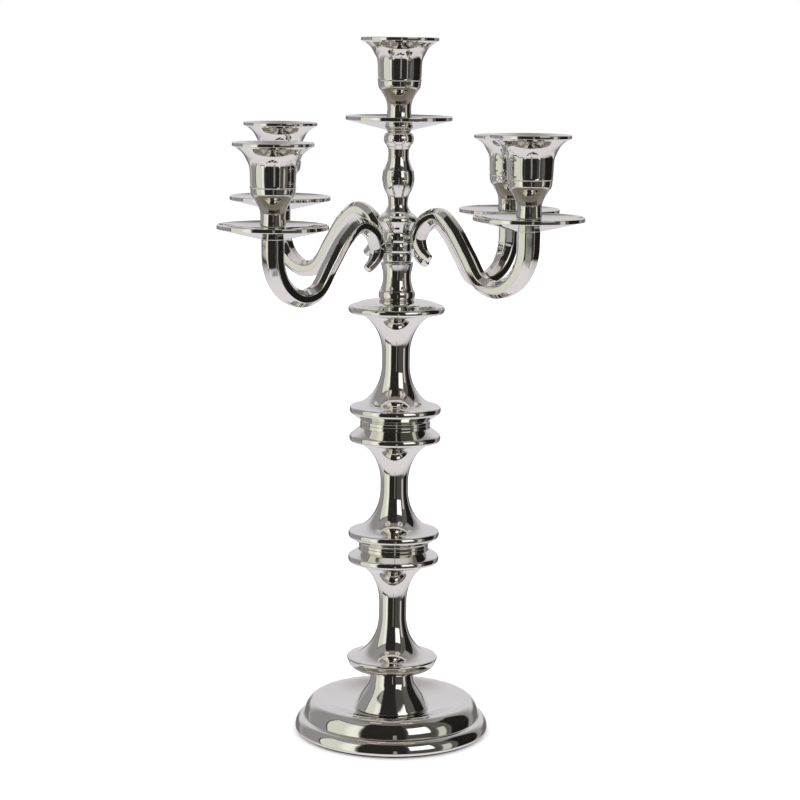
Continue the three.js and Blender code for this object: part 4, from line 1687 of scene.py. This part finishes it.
@dataclass
class Studio:
    """Pale floor, camera, and a soft studio that the plate reflects. Lengths are metres, angles degrees."""

    distance: float = 1.3199
    height: float = 0.4271
    azimuth: float = -1.5
    yaw: float = 0.123
    pitch: float = 9.319
    roll: float = 0.782
    lens: float = 97.63
    sensor: float = 36.0
    clip: tuple[float, float] = (0.05, 50.0)
    floor_radius: float = 4.0
    ambient: float = 1.55

    def reflectors(self) -> list[Reflector]:
        """What stands round the candelabra, each over the ones before it; azimuth 0 is the camera's side.

        Returns:
            The reflectors.
        """
        room = Reflector((-140, 140), (-26, 62), (0.30, 0.29, 0.30), 14)
        dark_screens = [
            Reflector((-93, -40), (-34, 44), (0.020, 0.018, 0.017), 1.2),
            Reflector((-44, 24), (-30, 66), (0.022, 0.020, 0.018), 2.5),
            Reflector((20, 62), (-30, 66), (0.075, 0.07, 0.064), 3),
            Reflector((60, 84), (-28, 66), (0.11, 0.104, 0.095), 4),
            Reflector((84, 122), (-24, 50), (0.014, 0.012, 0.011), 3),
        ]
        soft_boxes = [
            Reflector((-91, -42), (-30, 42), (0.74, 0.75, 0.66), 0.9),
            Reflector((-60, -43), (-30, 41), (0.96, 0.96, 0.88), 6),
            Reflector((23, 53), (6, 40), (1.35, 1.35, 1.33), 1.2),
            Reflector((3, 7), (-40, 4), (0.30, 0.30, 0.29), 1.2),
            Reflector((64, 76), (-20, 22), (0.62, 0.60, 0.56), 1.5),
        ]
        low_panels = [
            Reflector((134, 162), (-24, 6), (0.16, 0.155, 0.16), 5),
            Reflector((-166, -138), (-24, 6), (0.20, 0.195, 0.20), 5),
        ]
        return [room, *dark_screens, *soft_boxes, *low_panels]

    def build_world(self) -> None:
        """World: white to the camera and to soft surfaces, and the studio's reflectors to the plate."""
        world = bpy.data.worlds.new("studio")
        bpy.context.scene.world = world
        world.use_nodes = True
        tree = world.node_tree
        tree.nodes.clear()
        way = add_node(tree, "ShaderNodeTexCoord", {}, {}, "Generated")
        split = tree.nodes.new("ShaderNodeSeparateXYZ")
        tree.links.new(way.output, split.inputs[0])
        x, y, z = (Socket(tree, split.outputs[i]) for i in range(3))
        azimuth = x.math("ARCTAN2", y * -1.0) * math.degrees(1) - self.azimuth
        elevation = z.math("ARCSINE") * math.degrees(1)
        ceiling = mixed(elevation.ramped(30, 75), rgba(0.70, 0.685, 0.73), rgba(0.20, 0.18, 0.155))
        view = mixed(elevation.ramped(-18, -50), ceiling, rgba(0.80, 0.76, 0.80))
        for r in self.reflectors():
            mask = self.window(azimuth, *r.azimuth, r.soft) * self.window(elevation, *r.elevation, r.soft)
            view = mixed(mask, view, rgba(*r.colour))
        glossy = add_node(tree, "ShaderNodeLightPath", {}, {}, "Is Glossy Ray")
        camera = add_node(tree, "ShaderNodeLightPath", {}, {}, "Is Camera Ray")
        soft = mixed(camera, rgba(self.ambient, self.ambient, self.ambient), rgba(1.0, 1.0, 1.0))
        colour = mixed(glossy, soft, view)
        background = add_node(tree, "ShaderNodeBackground", {}, {"Color": colour, "Strength": 1.0})
        output = tree.nodes.new("ShaderNodeOutputWorld")
        tree.links.new(background.output, output.inputs["Surface"])

    @staticmethod
    def window(value: Socket, low: float, high: float, soft: float) -> Socket:
        """1 between low and high, eased to 0 over soft degrees on both sides."""
        return value.ramped(low - soft, low + soft) * value.ramped(high + soft, high - soft)

    def build_floor(self) -> None:
        """Round pale floor, which the plate sees as part of the studio instead."""
        count = SMALL_SEGMENTS
        a = np.linspace(0, 2 * np.pi, count, endpoint=False)
        rim = np.stack([np.cos(a), np.sin(a), 0 * a], axis=1) * self.floor_radius
        mesh = bpy.data.meshes.new("floor")
        slices = [(i, (i + 1) % count, count) for i in range(count)]
        mesh.from_pydata([*rim.tolist(), (0.0, 0.0, 0.0)], [], slices)
        material, tree, shader = new_material("pale_floor")
        cloud = noise(object_place(tree), 2.0, 2.0)
        set_inputs(tree, shader, {
            "Base Color": mixed(cloud, rgba(0.86, 0.86, 0.865), rgba(0.88, 0.88, 0.88)),
            "Roughness": 0.9,
            "Specular IOR Level": 0.0,
        })
        mesh.materials.append(material)
        floor = bpy.data.objects.new("floor", mesh)
        bpy.context.scene.collection.objects.link(floor)
        floor.visible_glossy = False

    def build_camera(self) -> None:
        """Camera at its distance and height, turned by heading, then tilted, then rolled about its view."""
        heading, pitch, roll = (math.radians(v) for v in (self.yaw - self.azimuth, self.pitch, self.roll))
        right = Vector((math.cos(heading), -math.sin(heading), 0.0))
        level = Vector((math.sin(heading), math.cos(heading), 0.0)) * math.cos(pitch)
        ahead = level - Vector((0.0, 0.0, math.sin(pitch)))
        above = right.cross(ahead)
        rolled_right = right * math.cos(roll) + above * math.sin(roll)
        rolled_above = above * math.cos(roll) - right * math.sin(roll)
        side = math.radians(self.azimuth)
        place = Vector((self.distance * math.sin(side), -self.distance * math.cos(side), self.height))
        matrix = Matrix((rolled_right, rolled_above, -ahead)).transposed().to_4x4()
        matrix.translation = place
        data = bpy.data.cameras.new("camera")
        data.lens = self.lens
        data.sensor_width = self.sensor
        data.clip_start, data.clip_end = self.clip
        camera = bpy.data.objects.new("camera", data)
        bpy.context.scene.collection.objects.link(camera)
        camera.matrix_world = matrix
        bpy.context.scene.camera = camera

    def build(self) -> None:
        """Builds camera, floor and world, and shows colours as they are."""
        self.build_camera()
        self.build_floor()
        self.build_world()
        bpy.context.scene.view_settings.view_transform = "Standard"


def main() -> None:
    """Builds the studio, then the candelabra from its foot up."""
    logging.basicConfig(level=logging.INFO, format="%(name)s: %(message)s")
    Studio().build()
    finishes = Finishes()
    thread = Thread()
    Underside(thread).build(finishes)
    Foot().build(finishes)
    Pillar().build(finishes)
    Stem().build(finishes)
    DoubleArm("arm_pair_lower", "arms_lower", "drip_pan_front_left", 45.0).build(finishes)
    DoubleArm("arm_pair_upper", "arms_upper", "drip_pan_front_right", -45.0).build(finishes)
    hosts = {
        "centre": "pillar",
        "front_left": "arms_lower",
        "back_right": "arms_lower",
        "front_right": "arms_upper",
        "back_left": "arms_upper",
    }
    pan, cup = DripPan(), CandleCup()
    for place, host in hosts.items():
        Light(place, host, pan, cup, thread).build(finishes)


if __name__ == "__main__":
    main()
